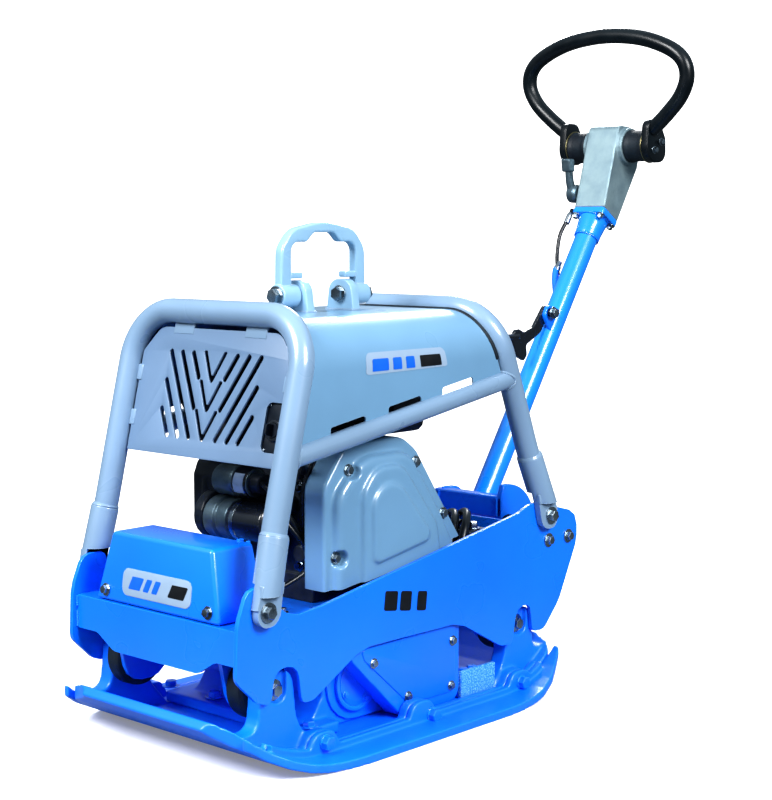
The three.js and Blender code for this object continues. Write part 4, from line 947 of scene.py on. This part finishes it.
def build_belt_guard():
    layers = [guard_layer(*layer) for layer in GUARD]
    raised = slab([rounded(GUARD_PANEL)], "x", 190, 206, 6, 4)
    guard = piece("belt_guard_pressing", [*layers, raised], GREY_PRESSED, replaces="belt_guard")
    melted(guard, 2.4)
    for pocket in guard_cups(12.5, 18, 40, 171.8, 3):
        carve(guard, [pocket])
    melted(guard, 2.0, 18)
    low_y, high_y = -300, 300
    below = [Vector((low_y, guard_bottom(low_y) - 200)), Vector((high_y, guard_bottom(high_y) - 200)),
             Vector((high_y, guard_bottom(high_y))), Vector((low_y, guard_bottom(low_y)))]
    carve(guard, [slab([below], "x", 60, 260, 0)])
    for start, end, edge, corners in GUARD:
        wall = GUARD_SHEET + 0.5 * edge
        hollow = guard_layer(start - 20, end - wall, 0, corners, wall + 2, 60)
        carve(guard, [hollow], guard_cups(16, 22, 50, 168.4))
    finish_mesh(guard.data, 50)
    bolts("belt_guard_bolts", [(172.2, *place) for place in GUARD_BOLTS], X, 13, turn=0.4)


build_belt_guard()


# ---- battery cover and front label
COVER = {"low_x": 158, "top_x": 128, "low_z": 243, "top_z": 361, "front": -392, "top_front": -378,
         "back": -287}


def cover_solid(inset, low_z):
    low_x, top_x, top_z = COVER["low_x"] - inset, COVER["top_x"] - inset, COVER["top_z"] - inset
    front, top_front, back = COVER["front"] + inset, COVER["top_front"] + inset, COVER["back"] - inset
    bottom = [(-low_x, front, low_z), (low_x, front, low_z), (low_x, back, low_z), (-low_x, back, low_z)]
    top = [(-top_x, top_front, top_z), (top_x, top_front, top_z), (top_x, back, top_z), (-top_x, back, top_z)]
    return hexahedron(bottom, top)


def on_cover_front(solid):
    """Lays a piece drawn upright at Y = 0, Z = 0 onto the leaning front of the battery cover."""
    tilt = math.atan((COVER["top_front"] - COVER["front"]) / (COVER["top_z"] - COVER["low_z"]))
    foot = Matrix.Translation((0, COVER["front"], COVER["low_z"]))
    return moved(solid, foot @ Matrix.Rotation(-tilt, 4, "X"))


def build_battery_cover():
    cover = piece("battery_cover_pressing", [cover_solid(0, COVER["low_z"])], BLUE, replaces="battery_cover")
    soften(cover, 7, 5)
    carve(cover, [cover_solid(2.5, COVER["low_z"] - 9)])
    places = [(x, -0.4, 18) for x in (-131, 131)]
    bolts("battery_cover_bolts", places, -Y, 13, 7, turn=0.3, lay=on_cover_front)
    plate = slab([panel(-88, 16, 88, 62, 14)], "y", 0.6, -1.2, 0.5)
    piece("front_label", [on_cover_front(plate)], LABEL)
    bars = []
    for start, width in ((-72, 30), (-34, 14), (-12, 14), (30, 40)):
        corners = [(start, 28, 2), (start + width, 28, 2), (start + width + 10, 50, 2), (start + 10, 50, 2)]
        bars.append(on_cover_front(slab([rounded(corners)], "y", -1.1, -1.5, 0.1)))
    piece("front_label_blue_bars", bars[:3], LABEL_BLUE)
    piece("front_label_dark_bar", bars[3:], LABEL_DARK)
    clip = [block((96, -296, 352), (104, -286, 364), 1.5), block((112, -290, 340), (118, -284, 362), 1.5)]
    piece("battery_cover_clip", clip, BLUE)


build_battery_cover()


# ---- base, extensions, buffers and exciter
BUFFER = {"front": -308, "rear": 323, "z": 130}
CAP_DROP = 2  # how far the right cap sits below its shaft


def build_base():
    cast("base_plate", "base_casting", BLUE_CAST, 2.4, 9)
    for side, _ in SIDES:
        cast(f"extension_plate_{side}", f"extension_casting_{side}", BLUE_CAST, 2.0, 7)
    cast("exciter_housing", "exciter_casting", BLUE_CAST, 2.4, 9)
    rows = [(-162, -325), (-13, -323), (130, -323), (-191, -200), (-78, -195), (173, -206), (60, -200)]
    feet = [(x, y, 30 if y < -300 else 42) for x, y in rows]
    bolts("exciter_foot_bolts", feet, Z, 19, turn=0.2, material=BLUE, body="base")
    rear = [(x, y, 54) for x in (-172, 172) for y in (196, 222)]
    bolts("exciter_rear_bolts", rear, Z, 17, turn=0.5, material=BLUE, body="base")
    outer = [(237.2, y, z) for y, z in ((-232, 35), (34, 24), (287, 31))]
    bolts("extension_bolts", outer, X, 21, 12, 3, 1.25, 0.35, BLUE, "base", paired=True)
    piece("casting_pads", both([block((196, 152, 6), (206, 250, 71), 3)]), BLUE_ROUGH, "base")


def build_buffers():
    for end in ("front", "rear"):
        for side, flip in SIDES:
            node = f"buffer_{end}_{side}"
            inner, outer = sorted((abs(low(node).x), abs(high(node).x)))
            drum = lathe([(0, inner), (46, inner, 1.5), (53, inner + 4, 3), (54, inner + 9, 5),
                          (54, outer - 9, 5), (53, outer - 4, 3), (46, outer, 1.5), (0, outer)],
                         (0, BUFFER[end], BUFFER["z"]), X, 56)
            piece(f"{node}_rubber", [flip(drum)], RUBBER, replaces=node)
    places = [(193.2, BUFFER[end], BUFFER["z"]) for end in ("front", "rear")]
    bolts("buffer_bolts", places, X, 19, 11, 3, 1.9, body="base", paired=True)


def build_exciter_cover():
    face, y, z = high("exciter_cover_right").x, FRONT_SHAFT.y, FRONT_SHAFT.z - CAP_DROP
    rim = lathe([(44, -2), (52, -2), (52, 2.4, 1.2), (47, 2.4, 1.2), (45.5, 0.6), (44, 0.6), (44, -2)],
                (face, y, z), X, 56)
    dome = lathe([(0, -1), (43, -1), (43, 1.2, 0.8), (34, 2.2, 3), (0, 2.6)], (face, y, z), X, 56)
    piece("exciter_cap_rings", both([rim, dome]), BLUE, "base")
    places = [(face + 2.6, *spot) for spot in ring(y, z, 37, 4, math.radians(28))]
    bolts("exciter_cap_screws", places, X, 8, 4, 0.8, turn=0.2, material=BLUE, body="base", paired=True)


def build_lower_cover():
    cast("lower_belt_cover", "lower_cover_pressing", BLUE, 2.0, 5)
    face = high("lower_belt_cover").x
    corners = [(-112, 160, 8), (-104, 140, 8), (4, 46, 10), (66, 40, 12), (128, 40, 26), (134, 70, 20),
               (134, 166, 8)]
    raised = slab([rounded(corners)], "x", face - 3, face + 2.2, 1.8)
    piece("lower_cover_face", [raised], BLUE, "base")
    places = [(face + 2, *place) for place in ((-82, 132), (6, 56), (126, 134), (122, 52))]
    bolts("lower_cover_bolts", places, X, 11, turn=0.2, body="base")


build_base()
build_buffers()
build_exciter_cover()
build_lower_cover()


# ---- side plates and bumper
def build_chassis_details():
    for y in (397, 459):
        bolts(f"bearing_bolt_{y}", [(PLATE_OUTER + 0.2, y, 282)], X, 15, 8, 2, 1.8, 0.5, paired=True)
    seam = [weld([Vector((PLATE_INNER - 1.5, BUMPER_FRONT - 0.5, z)) for z in span], 2.6)
            for span in ((186, 214), (222, 240))]
    piece("bumper_welds", both(seam), BLUE)
    strip = smooth_path([(PLATE_INNER - 5, *spot) for spot in ((-200, 252), (0, 276), (290, 330))], 12)
    piece("guard_seal", [sweep(strip, 3.2, 10, 1.5)], RUBBER)
    places = [(x, y, 230) for x, y in ((120, -215), (160, -180), (-150, -180), (-90, 330), (90, 330))]
    bolts("deck_bolts", places, Z, 13)


def build_side_mark():
    """Three plain bars where the maker prints a type name."""
    slope, lean, rise = 0.16, 4, 34
    for number, (start, end) in enumerate(((-66, -34), (-26, 2), (18, 42))):
        base = 212 - slope * start
        far = base - slope * (end - start)
        corners = [(start, base), (end, far), (end + lean, far + rise), (start + lean, base + rise)]
        outline = rounded([(*corner, 4) for corner in corners])
        bar = slab([outline], "x", PLATE_OUTER + 0.2, PLATE_OUTER + 0.8, 0.1, 1)
        piece(f"side_mark_{number}", [bar], LABEL_DARK)


build_chassis_details()
build_side_mark()


# ---- lifting bail
def build_bail():
    z, outer, inner, top = BAIL_AXIS.z, 107, 81, BAIL_AXIS.z + 130
    loop = rounded([
        (-outer, z + 4), (-inner, z + 4), (-inner, top - 36, 18), (-42, top - 36, 14),
        (-24, top - 19, 16), (24, top - 19, 16), (42, top - 36, 14), (inner, top - 36, 18), (inner, z + 4),
        (outer, z + 4), (outer - 2, top - 46, 40), (78, top - 13, 44), (0, top + 2, 150),
        (-78, top - 13, 44), (-outer + 2, top - 46, 40),
    ])
    arch = slab([loop], "x", -10, 10, 4.5, 4)
    eyes = [lathe(pipe(9.5, 21, 68, 110, 2.5), (0, 0, z), way, 40) for way in (Y, -Y)]
    stops = [block((-9, near, z + 30), (9, far, z + 41), 3)
             for near, far in ((53, inner + 2), (-inner - 2, -53))]
    piece("bail_arch", [arch, *eyes, *stops], GREY_LIGHT, replaces="lifting_bail")
    base = HOOD["top"]
    lug = rounded([(-34, base + 0.3), (34, base + 0.3), (26, z + 27, 24), (-26, z + 27, 24)])
    for end, way in (("front", -1), ("rear", 1)):
        plate = slab([lug, ring(0, z, 10)], "y", way * 48, way * 67, 2)
        piece(f"bail_lug_{end}_plate", [plate], GREY_LIGHT, replaces=f"bail_lug_{end}")
        corners = panel(-34, 47, 34, 68)
        foot = [Vector((p.x, way * p.y, base + 0.6)) for p in [*corners, corners[0]]]
        piece(f"bail_lug_{end}_weld", [weld(foot, 2.4)], GREY)
        shank = lathe(disc(9, 38, 112), (0, 0, z), Y * way, 24)
        head = hex_bolt((0, way * 110.6, z), Y * way, 24, 10, 2.4, 1.5, 0.2)
        nut = hex_bolt((0, way * 47.4, z), -Y * way, 22, 10, 2, 1.4, 0.5)
        piece(f"bail_pin_{end}_bolt", [shank, *head, *nut], ZINC, replaces=f"bail_pin_{end}")


build_bail()


# ---- drawbar
DRAWBAR = {"tube": 24.15, "flange": 745}
YOKE = {"half_width": 88, "cheek": 12, "radius": 90, "beam": 67, "end": math.pi * 0.54}


def leaned(solid):
    """Places a piece drawn with the drawbar along +Z from its pivot."""
    return moved(solid, Matrix.Translation(DRAWBAR_PIVOT) @ Matrix.Rotation(-DRAWBAR_LEAN, 4, "X"))


def build_yoke():
    half, cheek, radius, beam, end = YOKE.values()
    rim = [Vector(p) for p in ((-18, 8), (-16, -20), (8, -28))] + arc(radius, -0.12, end, 24)
    rim.append(Vector((-18, 68)))
    low_rim = rounded([(-18, 8), (-16, -20), (8, -28), (beam, -10), (beam, beam, beam), (-18, beam, 6)])
    solids = [slab([rim, ring(0, 0, 17)], "x", half - cheek, half, 2),
              slab([low_rim, ring(0, 0, 17)], "x", -half, cheek - half, 2),
              slab([arc(beam, 0.1, end) + arc(beam - 8, end, 0.1)], "x", 2 - half, half - 2, 1),
              slab([rounded([(-18, 25, 3), (-9, 25, 3), (-9, beam, 1), (-18, beam, 4)])], "x",
                   2 - half, half - 2, 1)]
    to_pivot = Matrix.Translation(DRAWBAR_PIVOT)
    piece("yoke_plates", [moved(solid, to_pivot) for solid in solids], BLUE, "drawbar")
    inside = half - cheek - 0.6
    seam = [Vector((inside, *p)) for p in arc(beam + 0.6, 0.15, math.pi * 0.53, 20)]
    front = [Vector((inside, -18.4, z)) for z in (26, 64)]
    beads = [moved(weld(*run), to_pivot) for run in ((seam, 2.8), (front, 2.4))]
    piece("yoke_welds", both(beads), BLUE, "drawbar")


def build_drawbar():
    radius, flange = DRAWBAR.values()
    tube = lathe(disc(radius, 50, flange - 52), (0, 0, 0), Z, 56)
    neck = lathe([(0, flange - 60), (27.5, flange - 60, 3), (28, flange - 46, 2), (32, flange - 12, 5),
                  (0, flange - 12)], (0, 0, 0), Z, 56)
    plate = slab([panel(-41, -31, 41, 31, 8)], "z", flange - 14, flange - 0.3, 2)
    # The tube takes the lighter blue copy of the paint: painted sheen.
    piece("drawbar_pipe", map(leaned, (tube, neck, plate)), BLUE_PAINTED_SHEEN, replaces="drawbar_tube")
    seams, foot_reach = [], 24.6
    for reach, height, rise in ((radius + 1.4, flange - 61, 0), (32, flange - 14.5, 0),
                                (foot_reach, 64, 20 / foot_reach)):
        rim = ring(0, 0, reach, 48)
        seams.append(weld([Vector((*spot, height + rise * spot.y)) for spot in [*rim, rim[0]]], 2.3))
    piece("drawbar_welds", map(leaned, seams), BLUE, "drawbar")
    corners = [(x, y, flange - 14) for x in (-32, 32) for y in (-22, 22)]
    bolts("flange_bolts", corners, -Z, 11, 8, 1.8, 1.6, 0.3, body="drawbar", lay=leaned)
    rim = rounded([(-10, 440, 6), (-52, 460, 14), (-54, 486, 14), (-10, 498, 6)])
    bracket = slab([rim, ring(-40, 474, 8.6)], "x", 8.3, 17.3, 1.5)
    piece("latch_bracket", [leaned(bracket)], BLUE, "drawbar")
    bolts("latch_bolt", [(25.5, -40, 474)], X, 17, 8, 2, 1.5, body="latch", lay=leaned)


build_yoke()
build_drawbar()
cast("drawbar_latch", "latch_hook", BLACK_COAT, 1.4, 4)


# ---- handle head and bow
BOW_LEAN = 0.14


def bow_point(x, z):
    return Vector((x, HEAD_AXIS.y - 8 - BOW_LEAN * (z - HEAD_AXIS.z), z))


def build_head():
    place = (0, *HEAD_AXIS.yz)
    cast("handle_head", "head_casting", ALUMINIUM, 1.5, 9)
    outline = [(13, 50.3), (35, 50.3, 2), (35, 56, 2), (33, 62, 12), (33, 86, 12), (35, 92, 2), (35, 96, 1),
               (13, 96), (13, 50.3)]
    drum = lathe(outline, place, X, 56)
    for side, flip in SIDES:
        piece(f"head_bush_{side}_rubber", [flip(drum)], RUBBER, replaces=f"head_bush_{side}")
    piece("head_washers", both([lathe(pipe(13, 37, 96.4, 98.3, 0.4), place, X, 56)]), BRASS, "handle")


def build_bow():
    y, z = HEAD_AXIS.yz
    half = [(112, z + 33), (150, z + 63), (186, z + 98), (204, z + 136), (196, z + 172), (160, z + 200),
            (90, z + 224)]
    spots = [(-x, height) for x, height in half] + [(0, z + 233)] + half[::-1]
    bow = sweep(smooth_path([bow_point(*spot) for spot in spots], 9), 16, 40)
    corners = [(y - 40, z - 36, 34), (y + 36, z - 36, 34), (y + 34, z + 16, 24), (y + 10, z + 54, 20),
               (y - 34, z + 54, 20)]
    plate = slab([rounded(corners)], "x", 98.6, 116, 3.5, 4)
    piece("bow_bar", [bow, *both([plate])], HANDLE_BLACK, replaces="handle_bow")
    places = ((116, y - 12, z - 10), (116, y + 14, z + 8))
    bolts("bow_bolts", places, X, 11, 7, 1.6, 1.5, 0.3, body="handle", paired=True)


def build_throttle():
    y, z = THROTTLE_AXIS.yz
    hub = lathe([(0, 41.4), (15, 41.4, 1), (20, 46, 2), (19, 62, 3), (11, 66, 3), (0, 66)], (0, y, z), -X, 40)
    arm = slab([rounded([(y - 11, z - 6, 4), (y + 10, z - 4, 5), (y - 4, z + 30, 20), (y - 8, z + 54, 3),
                         (y - 24, z + 54, 3), (y - 21, z + 26, 20)])], "x", -64, -50, 5)
    knob = slab([rounded([(y - 27, z + 47, 4), (y - 7, z + 47, 4), (y - 9, z + 75, 4), (y - 31, z + 75, 4)])],
                "x", -69, -46, 4, 4)
    piece("throttle_arm", [hub, arm, knob], ALUMINIUM_DARK, replaces="throttle_lever")


def build_cables():
    """Throttle cable from the head down to its guide tube on the left of the drawbar."""
    spots = [(-47, -24, 742), (-47, -24, 722), (-54, -22, 680), (-50, -12, 636), (-41, -5, 606),
             (-34, -3, 590)]
    path, _ = leaned(([Vector(spot) for spot in spots], []))
    piece("throttle_cable", [sweep(smooth_path(path, 14), 4.2, 16, 1)], CABLE, "drawbar")
    upper = lathe([(0, 0), (6.5, 0, 1), (6.5, 20, 1.5), (5, 26), (0, 26)], (-47.5, -24, 706), Z, 20)
    lower = lathe([(0, 0), (7.5, 0, 1), (7.5, 9, 1), (6, 12), (6, 22, 1), (0, 22)], (-41, -5, 598), Z, 24)
    piece("cable_ferrules", [leaned(upper), leaned(lower)], STEEL, "drawbar")
    guide = smooth_path([(-42, -5, 603), (-40, -5, 592), (-33, -4, 572), (-22, -2, 548)], 8)
    piece("cable_guide", [leaned(sweep(guide, 7.6, 24, 1))], BLUE, "drawbar")


build_head()
build_bow()
build_throttle()
build_cables()


# ---- engine
STARTER = (-173, 366)
SOLENOID = (-172, 434)


def build_starter():
    left, place = low("starter_motor").x, (0, *STARTER)
    nose = lathe([(0, left), (38, left, 3), (38, -62, 2), (34, -58, 2), (36, -54, 2), (36, -30, 2), (0, -30)],
                 place, X, 48)
    can = lathe([(0, -30), (35, -30, 1), (35, 54, 4), (28, 58, 3), (28, 65, 3), (0, 65)], place, X, 48)
    piece("starter_nose", [nose], ALUMINIUM_DARK, replaces="starter_motor")
    piece("starter_can", [can], BLACK_COAT)
    piece("starter_band", [lathe(pipe(34.8, 36.2, -22, -12, 0.4), place, X, 48)], ZINC)


def build_solenoid():
    (y, z), place = SOLENOID, (0, *SOLENOID)
    body = lathe([(0, -76), (27, -76, 2), (27, -30, 1), (25.5, -28, 1), (25.5, 12, 2), (0, 12)], place, X, 48)
    cap = lathe([(0, 12), (20, 12, 1), (18, 34, 3), (0, 34)], place, X, 32)
    piece("solenoid_body", [body], ALUMINIUM_DARK, replaces="starter_solenoid")
    piece("solenoid_cap", [cap], PLASTIC)
    sleeve = lathe(pipe(25.4, 27.4, -24, 10, 0.6), place, X, 48)
    piece("solenoid_sleeve", [sleeve], BLACK_COAT)
    tag = [math.radians(-87 + step * 4.2) for step in range(-9, 10)]
    count = len(tag)
    rows = ((27.5, -19), (27.9, -19), (27.9, 6), (27.5, 6))
    points = [Vector((x, y + across * math.sin(turn), z + across * math.cos(turn))) for across, x in rows
              for turn in tag]
    faces = [tuple(row * count for row in range(4)), tuple(row * count + count - 1 for row in range(4))[::-1]]
    for row in range(4):
        faces.extend(band_faces(row * count, (row + 1) % 4 * count, count, closed=False))
    piece("solenoid_tag", [(points, faces)], LABEL)


def build_engine():
    cast("crankcase", "crankcase_casting", IRON, 2.4, 5)
    cast("flywheel_housing", "flywheel_cowl", PLASTIC, 2.2, 5)
    y, z = CRANK_AXIS.y, CRANK_AXIS.z - 6
    ribs = [lathe(pipe(118 - k * 14, 123 - k * 14, -178.5, -182.5, 1), (0, y, z), X, 48) for k in range(1, 6)]
    piece("cowl_rings", ribs, PLASTIC)
    places = [Vector((-92, y + 122 * math.cos(turn), z + 122 * math.sin(turn)))
              for turn in turns(8, math.radians(22.5))]
    piece("cowl_ears", [lathe(disc(9, -5, 6, 1, 1), place, X, 20) for place in places], PLASTIC)
    bolts("cowl_bolts", [place + X * 6 for place in places], X, 10)
    fronts = [(-60, 300), (-30, 345), (8, 300), (44, 330), (78, 292), (78, 350), (40, 392), (78, 430),
              (20, 455)]
    heads = [solid for x, height in fronts for solid in hex_bolt((x, -132.5, height), -Y, 12, 7, turn=x)]
    piece("crankcase_bolts", heads, ZINC)
    bosses = [lathe([(0, 0), (17, 0, 2), (15, 14, 3), (0, 14)], (x, -131, height), -Y, 28)
              for x, height in ((60, 398), (88, 316), (14, 428))]
    piece("crankcase_bosses", bosses, IRON)


def build_duct():
    duct = hexahedron([(-186, -185, 497), (-62, -185, 497), (-62, 60, 497), (-186, 60, 497)],
                      [(-150, -170, 560), (-62, -170, 560), (-62, 60, 560), (-150, 60, 560)])
    soften(piece("cooling_duct", [duct], PLASTIC), 8, 3)
    shroud = [block((-58, -118, 480), (66, -104, 640), 6)]
    shroud += [block((18 * k - 50, -123, 492), (18 * k - 44, -116, 628), 2) for k in range(6)]
    piece("engine_shroud", shroud, PLASTIC)


def build_hoses():
    lines = {
        "fuel_hose": ([(104, -60, 520), (112, -120, 500), (110, -150, 440), (100, -146, 380),
                       (92, -136, 330)], 5),
        "oil_line": ([(70, -138, 470), (78, -158, 440), (60, -160, 410), (40, -140, 396)], 4),
        "starter_cable": ([(30, -178, 438), (62, -190, 430), (88, -178, 396), (104, -150, 340),
                           (112, -120, 262)], 5.5),
        "battery_cable": ([(40, -166, 424), (90, -176, 376), (120, -150, 300), (90, -290, 240)], 4.5),
        "key_loom": ([(165, -240, 530), (150, -200, 500), (120, -160, 470), (90, -140, 450)], 6),
        "hydraulic_line": ([(128, 236, 262), (120, 262, 312), (96, 296, 332), (58, 322, 324),
                            (20, 334, 290)], 8),
        "second_hydraulic_line": ([(96, 240, 262), (88, 268, 310), (62, 300, 328), (24, 322, 318),
                                   (-20, 334, 280)], 8),
        "third_hydraulic_line": ([(60, 244, 262), (50, 276, 306), (20, 306, 322), (-20, 324, 310),
                                  (-60, 334, 275)], 8),
    }
    for name, (points, radius) in lines.items():
        piece(name, [sweep(smooth_path(points), radius, 14, 1)], CABLE)


def build_hydraulic_block():
    soften(piece("hydraulic_block", [block((-30, 262, 252), (132, 318, 306), 4)], IRON), 3, 2)
    bolts("hydraulic_fittings", [(x, 290, 306.2) for x in (-10, 22, 54, 86, 116)], Z, 17, 12, 2)


build_starter()
build_solenoid()
build_engine()
build_duct()
build_hydraulic_block()
build_hoses()


# ---- hood edges and label
EDGE_FROM = 560


def build_hood_edges():
    for name, share in (("front", 0.0), ("rear", 1.0)):
        path = [hood_point(p.x, p.y, share) for p in hood_rim(HOOD["sheet"] / 2) if p.y > EDGE_FROM]
        piece(f"hood_{name}_rubber", [sweep(path, 4.6, 12, 2)], RUBBER)


PATCH = {"length": 500, "turn": 100, "thickness": 0.5, "rings": (1, 0.8, 0.6, 0.4, 0.2), "splits": 4}


def on_hood(along, turn, height):
    """A point on the hood's right shoulder, or below it where the turn is negative."""
    radius = HOOD["shoulder"]
    share, angle = along / PATCH["length"], turn / PATCH["turn"]
    x = HOOD["side"] - radius + (radius + height) * math.cos(max(angle, 0))
    z = HOOD["top"] - radius + (radius + height) * math.sin(max(angle, 0)) + radius * min(angle, 0)
    return hood_point(x, z, share)


def hood_patch(name, material, start, end, low_turn, high_turn, lift, corner):
    """A thin sheet on the hood, drawn in 500ths of its length and 100ths of a radian round its shoulder."""
    outline = panel(start, low_turn, end, high_turn, corner)
    splits = PATCH["splits"]
    split = [a.lerp(b, step / splits) for a, b in zip(outline, outline[1:] + outline[:1])
             for step in range(splits)]
    outline = [p for k, p in enumerate(split) if k % splits == 0 or (split[k - 1] - p).length > 1]
    middle = Vector(((start + end) / 2, (low_turn + high_turn) / 2))
    size, rows = len(outline), len(PATCH["rings"])
    layer_size = size * rows + 1
    points, faces = [], []
    for height in (lift + PATCH["thickness"], lift):
        for share in PATCH["rings"]:
            points.extend(on_hood(*middle.lerp(p, share), height) for p in outline)
        points.append(on_hood(*middle, height))
    for base, order in ((0, 1), (layer_size, -1)):
        for row in range(rows - 1):
            first = base + row * size
            faces.extend(quad[::order] for quad in band_faces(first, first + size, size))
        last = base + (rows - 1) * size
        faces.extend((last + k, last + (k + 1) % size, base + layer_size - 1)[::order] for k in range(size))
    faces.extend(quad[::-1] for quad in band_faces(layer_size, 0, size))
    piece(name, [(points, faces)], material)


def build_hood_label():
    hood_patch("hood_label", LABEL, 135, 352, -24, 32, 0.3, 12)
    for number, (start, end) in enumerate(((151, 193), (205, 228), (240, 263))):
        hood_patch(f"hood_label_bar_{number}", LABEL_BLUE, start, end, -11, 19, 1.0, 3)
    hood_patch("hood_label_dark", LABEL_DARK, 279, 336, -11, 19, 1.0, 3)


build_hood_edges()
build_hood_label()


# ---- nodes shown as they are
stood_for = {node for made in bpy.context.scene.objects for node in made.get("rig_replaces", [])}
for entry in frame["record"]["subparts"]:
    if entry["node"] not in stood_for:
        keep_node(entry["node"], SLOTS[entry["material_slot"]][0])


# ---- stage, light and camera
WORLD_LIGHT = 0.26
WORLD_TINT = (0.72, 0.88, 1)
FLOOR_SIZE = 9
FLOOR_FADE = (0.55, 1.3)
FLOOR_GLOW = 0.12
AIM = (0, 0, 0.4)
LIGHTS = {
    "key": ((-0.4, -3.1, 3.0), AIM, 1.8, 125),
    "side": ((3.3, -0.4, 2.5), AIM, 1.6, 96),
    "rim": ((-1.8, 2.8, 2.5), (0, 0, 0.9), 0.9, 24),
}
CAMERA = {"place": (2.1187, -2.1244, 0.8711), "forward": (-0.6746, 0.7313, -0.1014), "lens": 75.05,
          "sensor": 36}


def build_floor():
    """White to the camera, fading out with distance, and a cool grey to everything that it reflects in."""
    size = FLOOR_SIZE
    mesh = bpy.data.meshes.new("floor")
    corners = [(-size, -size, 0), (size, -size, 0), (size, size, 0), (-size, size, 0)]
    mesh.from_pydata(corners, [], [(0, 1, 2, 3)])
    recipe = Recipe("pale_floor")
    recipe.set(Roughness=0.75, Emission_Color=(1, 1, 1, 1))
    seen = recipe.node("ShaderNodeLightPath").outputs["Is Camera Ray"]
    recipe.feed(recipe.times(seen, FLOOR_GLOW), "Emission Strength")
    distance = recipe.node("ShaderNodeVectorMath", operation="LENGTH")
    recipe.link(recipe.place, distance.inputs[0])
    recipe.feed(recipe.band(distance.outputs["Value"], *FLOOR_FADE, 1.0, 0.0), "Alpha")
    recipe.feed(recipe.mix(seen, (0.2, 0.24, 0.3), (0.92, 0.92, 0.92)), "Base Color")
    mesh.materials.append(recipe.material)
    linked("floor", mesh)


def build_world():
    """White to the camera; to the machine a cool sky that brightens upwards."""
    recipe = Recipe("studio", "worlds", "Background", "Generated")
    bpy.context.scene.world = recipe.material
    seen = recipe.node("ShaderNodeLightPath").outputs["Is Camera Ray"]
    heading = recipe.node("ShaderNodeSeparateXYZ")
    recipe.link(recipe.place, heading.inputs[0])
    sky = recipe.band(heading.outputs["Z"], -0.1, 0.9, WORLD_LIGHT * 0.35, WORLD_LIGHT * 1.5)
    strength = recipe.node("ShaderNodeMix")
    strength.inputs["B"].default_value = 1.0
    recipe.link(seen, strength.inputs["Factor"])
    recipe.link(sky, strength.inputs["A"])
    recipe.feed(strength.outputs["Result"], "Strength")
    recipe.feed(recipe.mix(seen, WORLD_TINT, (1, 1, 1)), "Color")


def aimed(name, data, place, forward):
    made = linked(name, data)
    made.location = place
    made.rotation_euler = Vector(forward).to_track_quat("-Z", "Y").to_euler()
    return made


def build_lights():
    for name, (place, target, size, power) in LIGHTS.items():
        light = bpy.data.lights.new(name, "AREA")
        light.shape = "DISK"
        light.size = size
        light.energy = power
        aimed(name, light, place, Vector(target) - Vector(place))


def build_camera():
    camera = bpy.data.cameras.new("camera")
    camera.lens = CAMERA["lens"]
    camera.sensor_width = CAMERA["sensor"]
    bpy.context.scene.camera = aimed("camera", camera, CAMERA["place"], CAMERA["forward"])


build_floor()
build_world()
build_lights()
build_camera()
view = bpy.context.scene.view_settings
view.view_transform = "Standard"
view.look = "Medium High Contrast"
view.exposure = 0.85
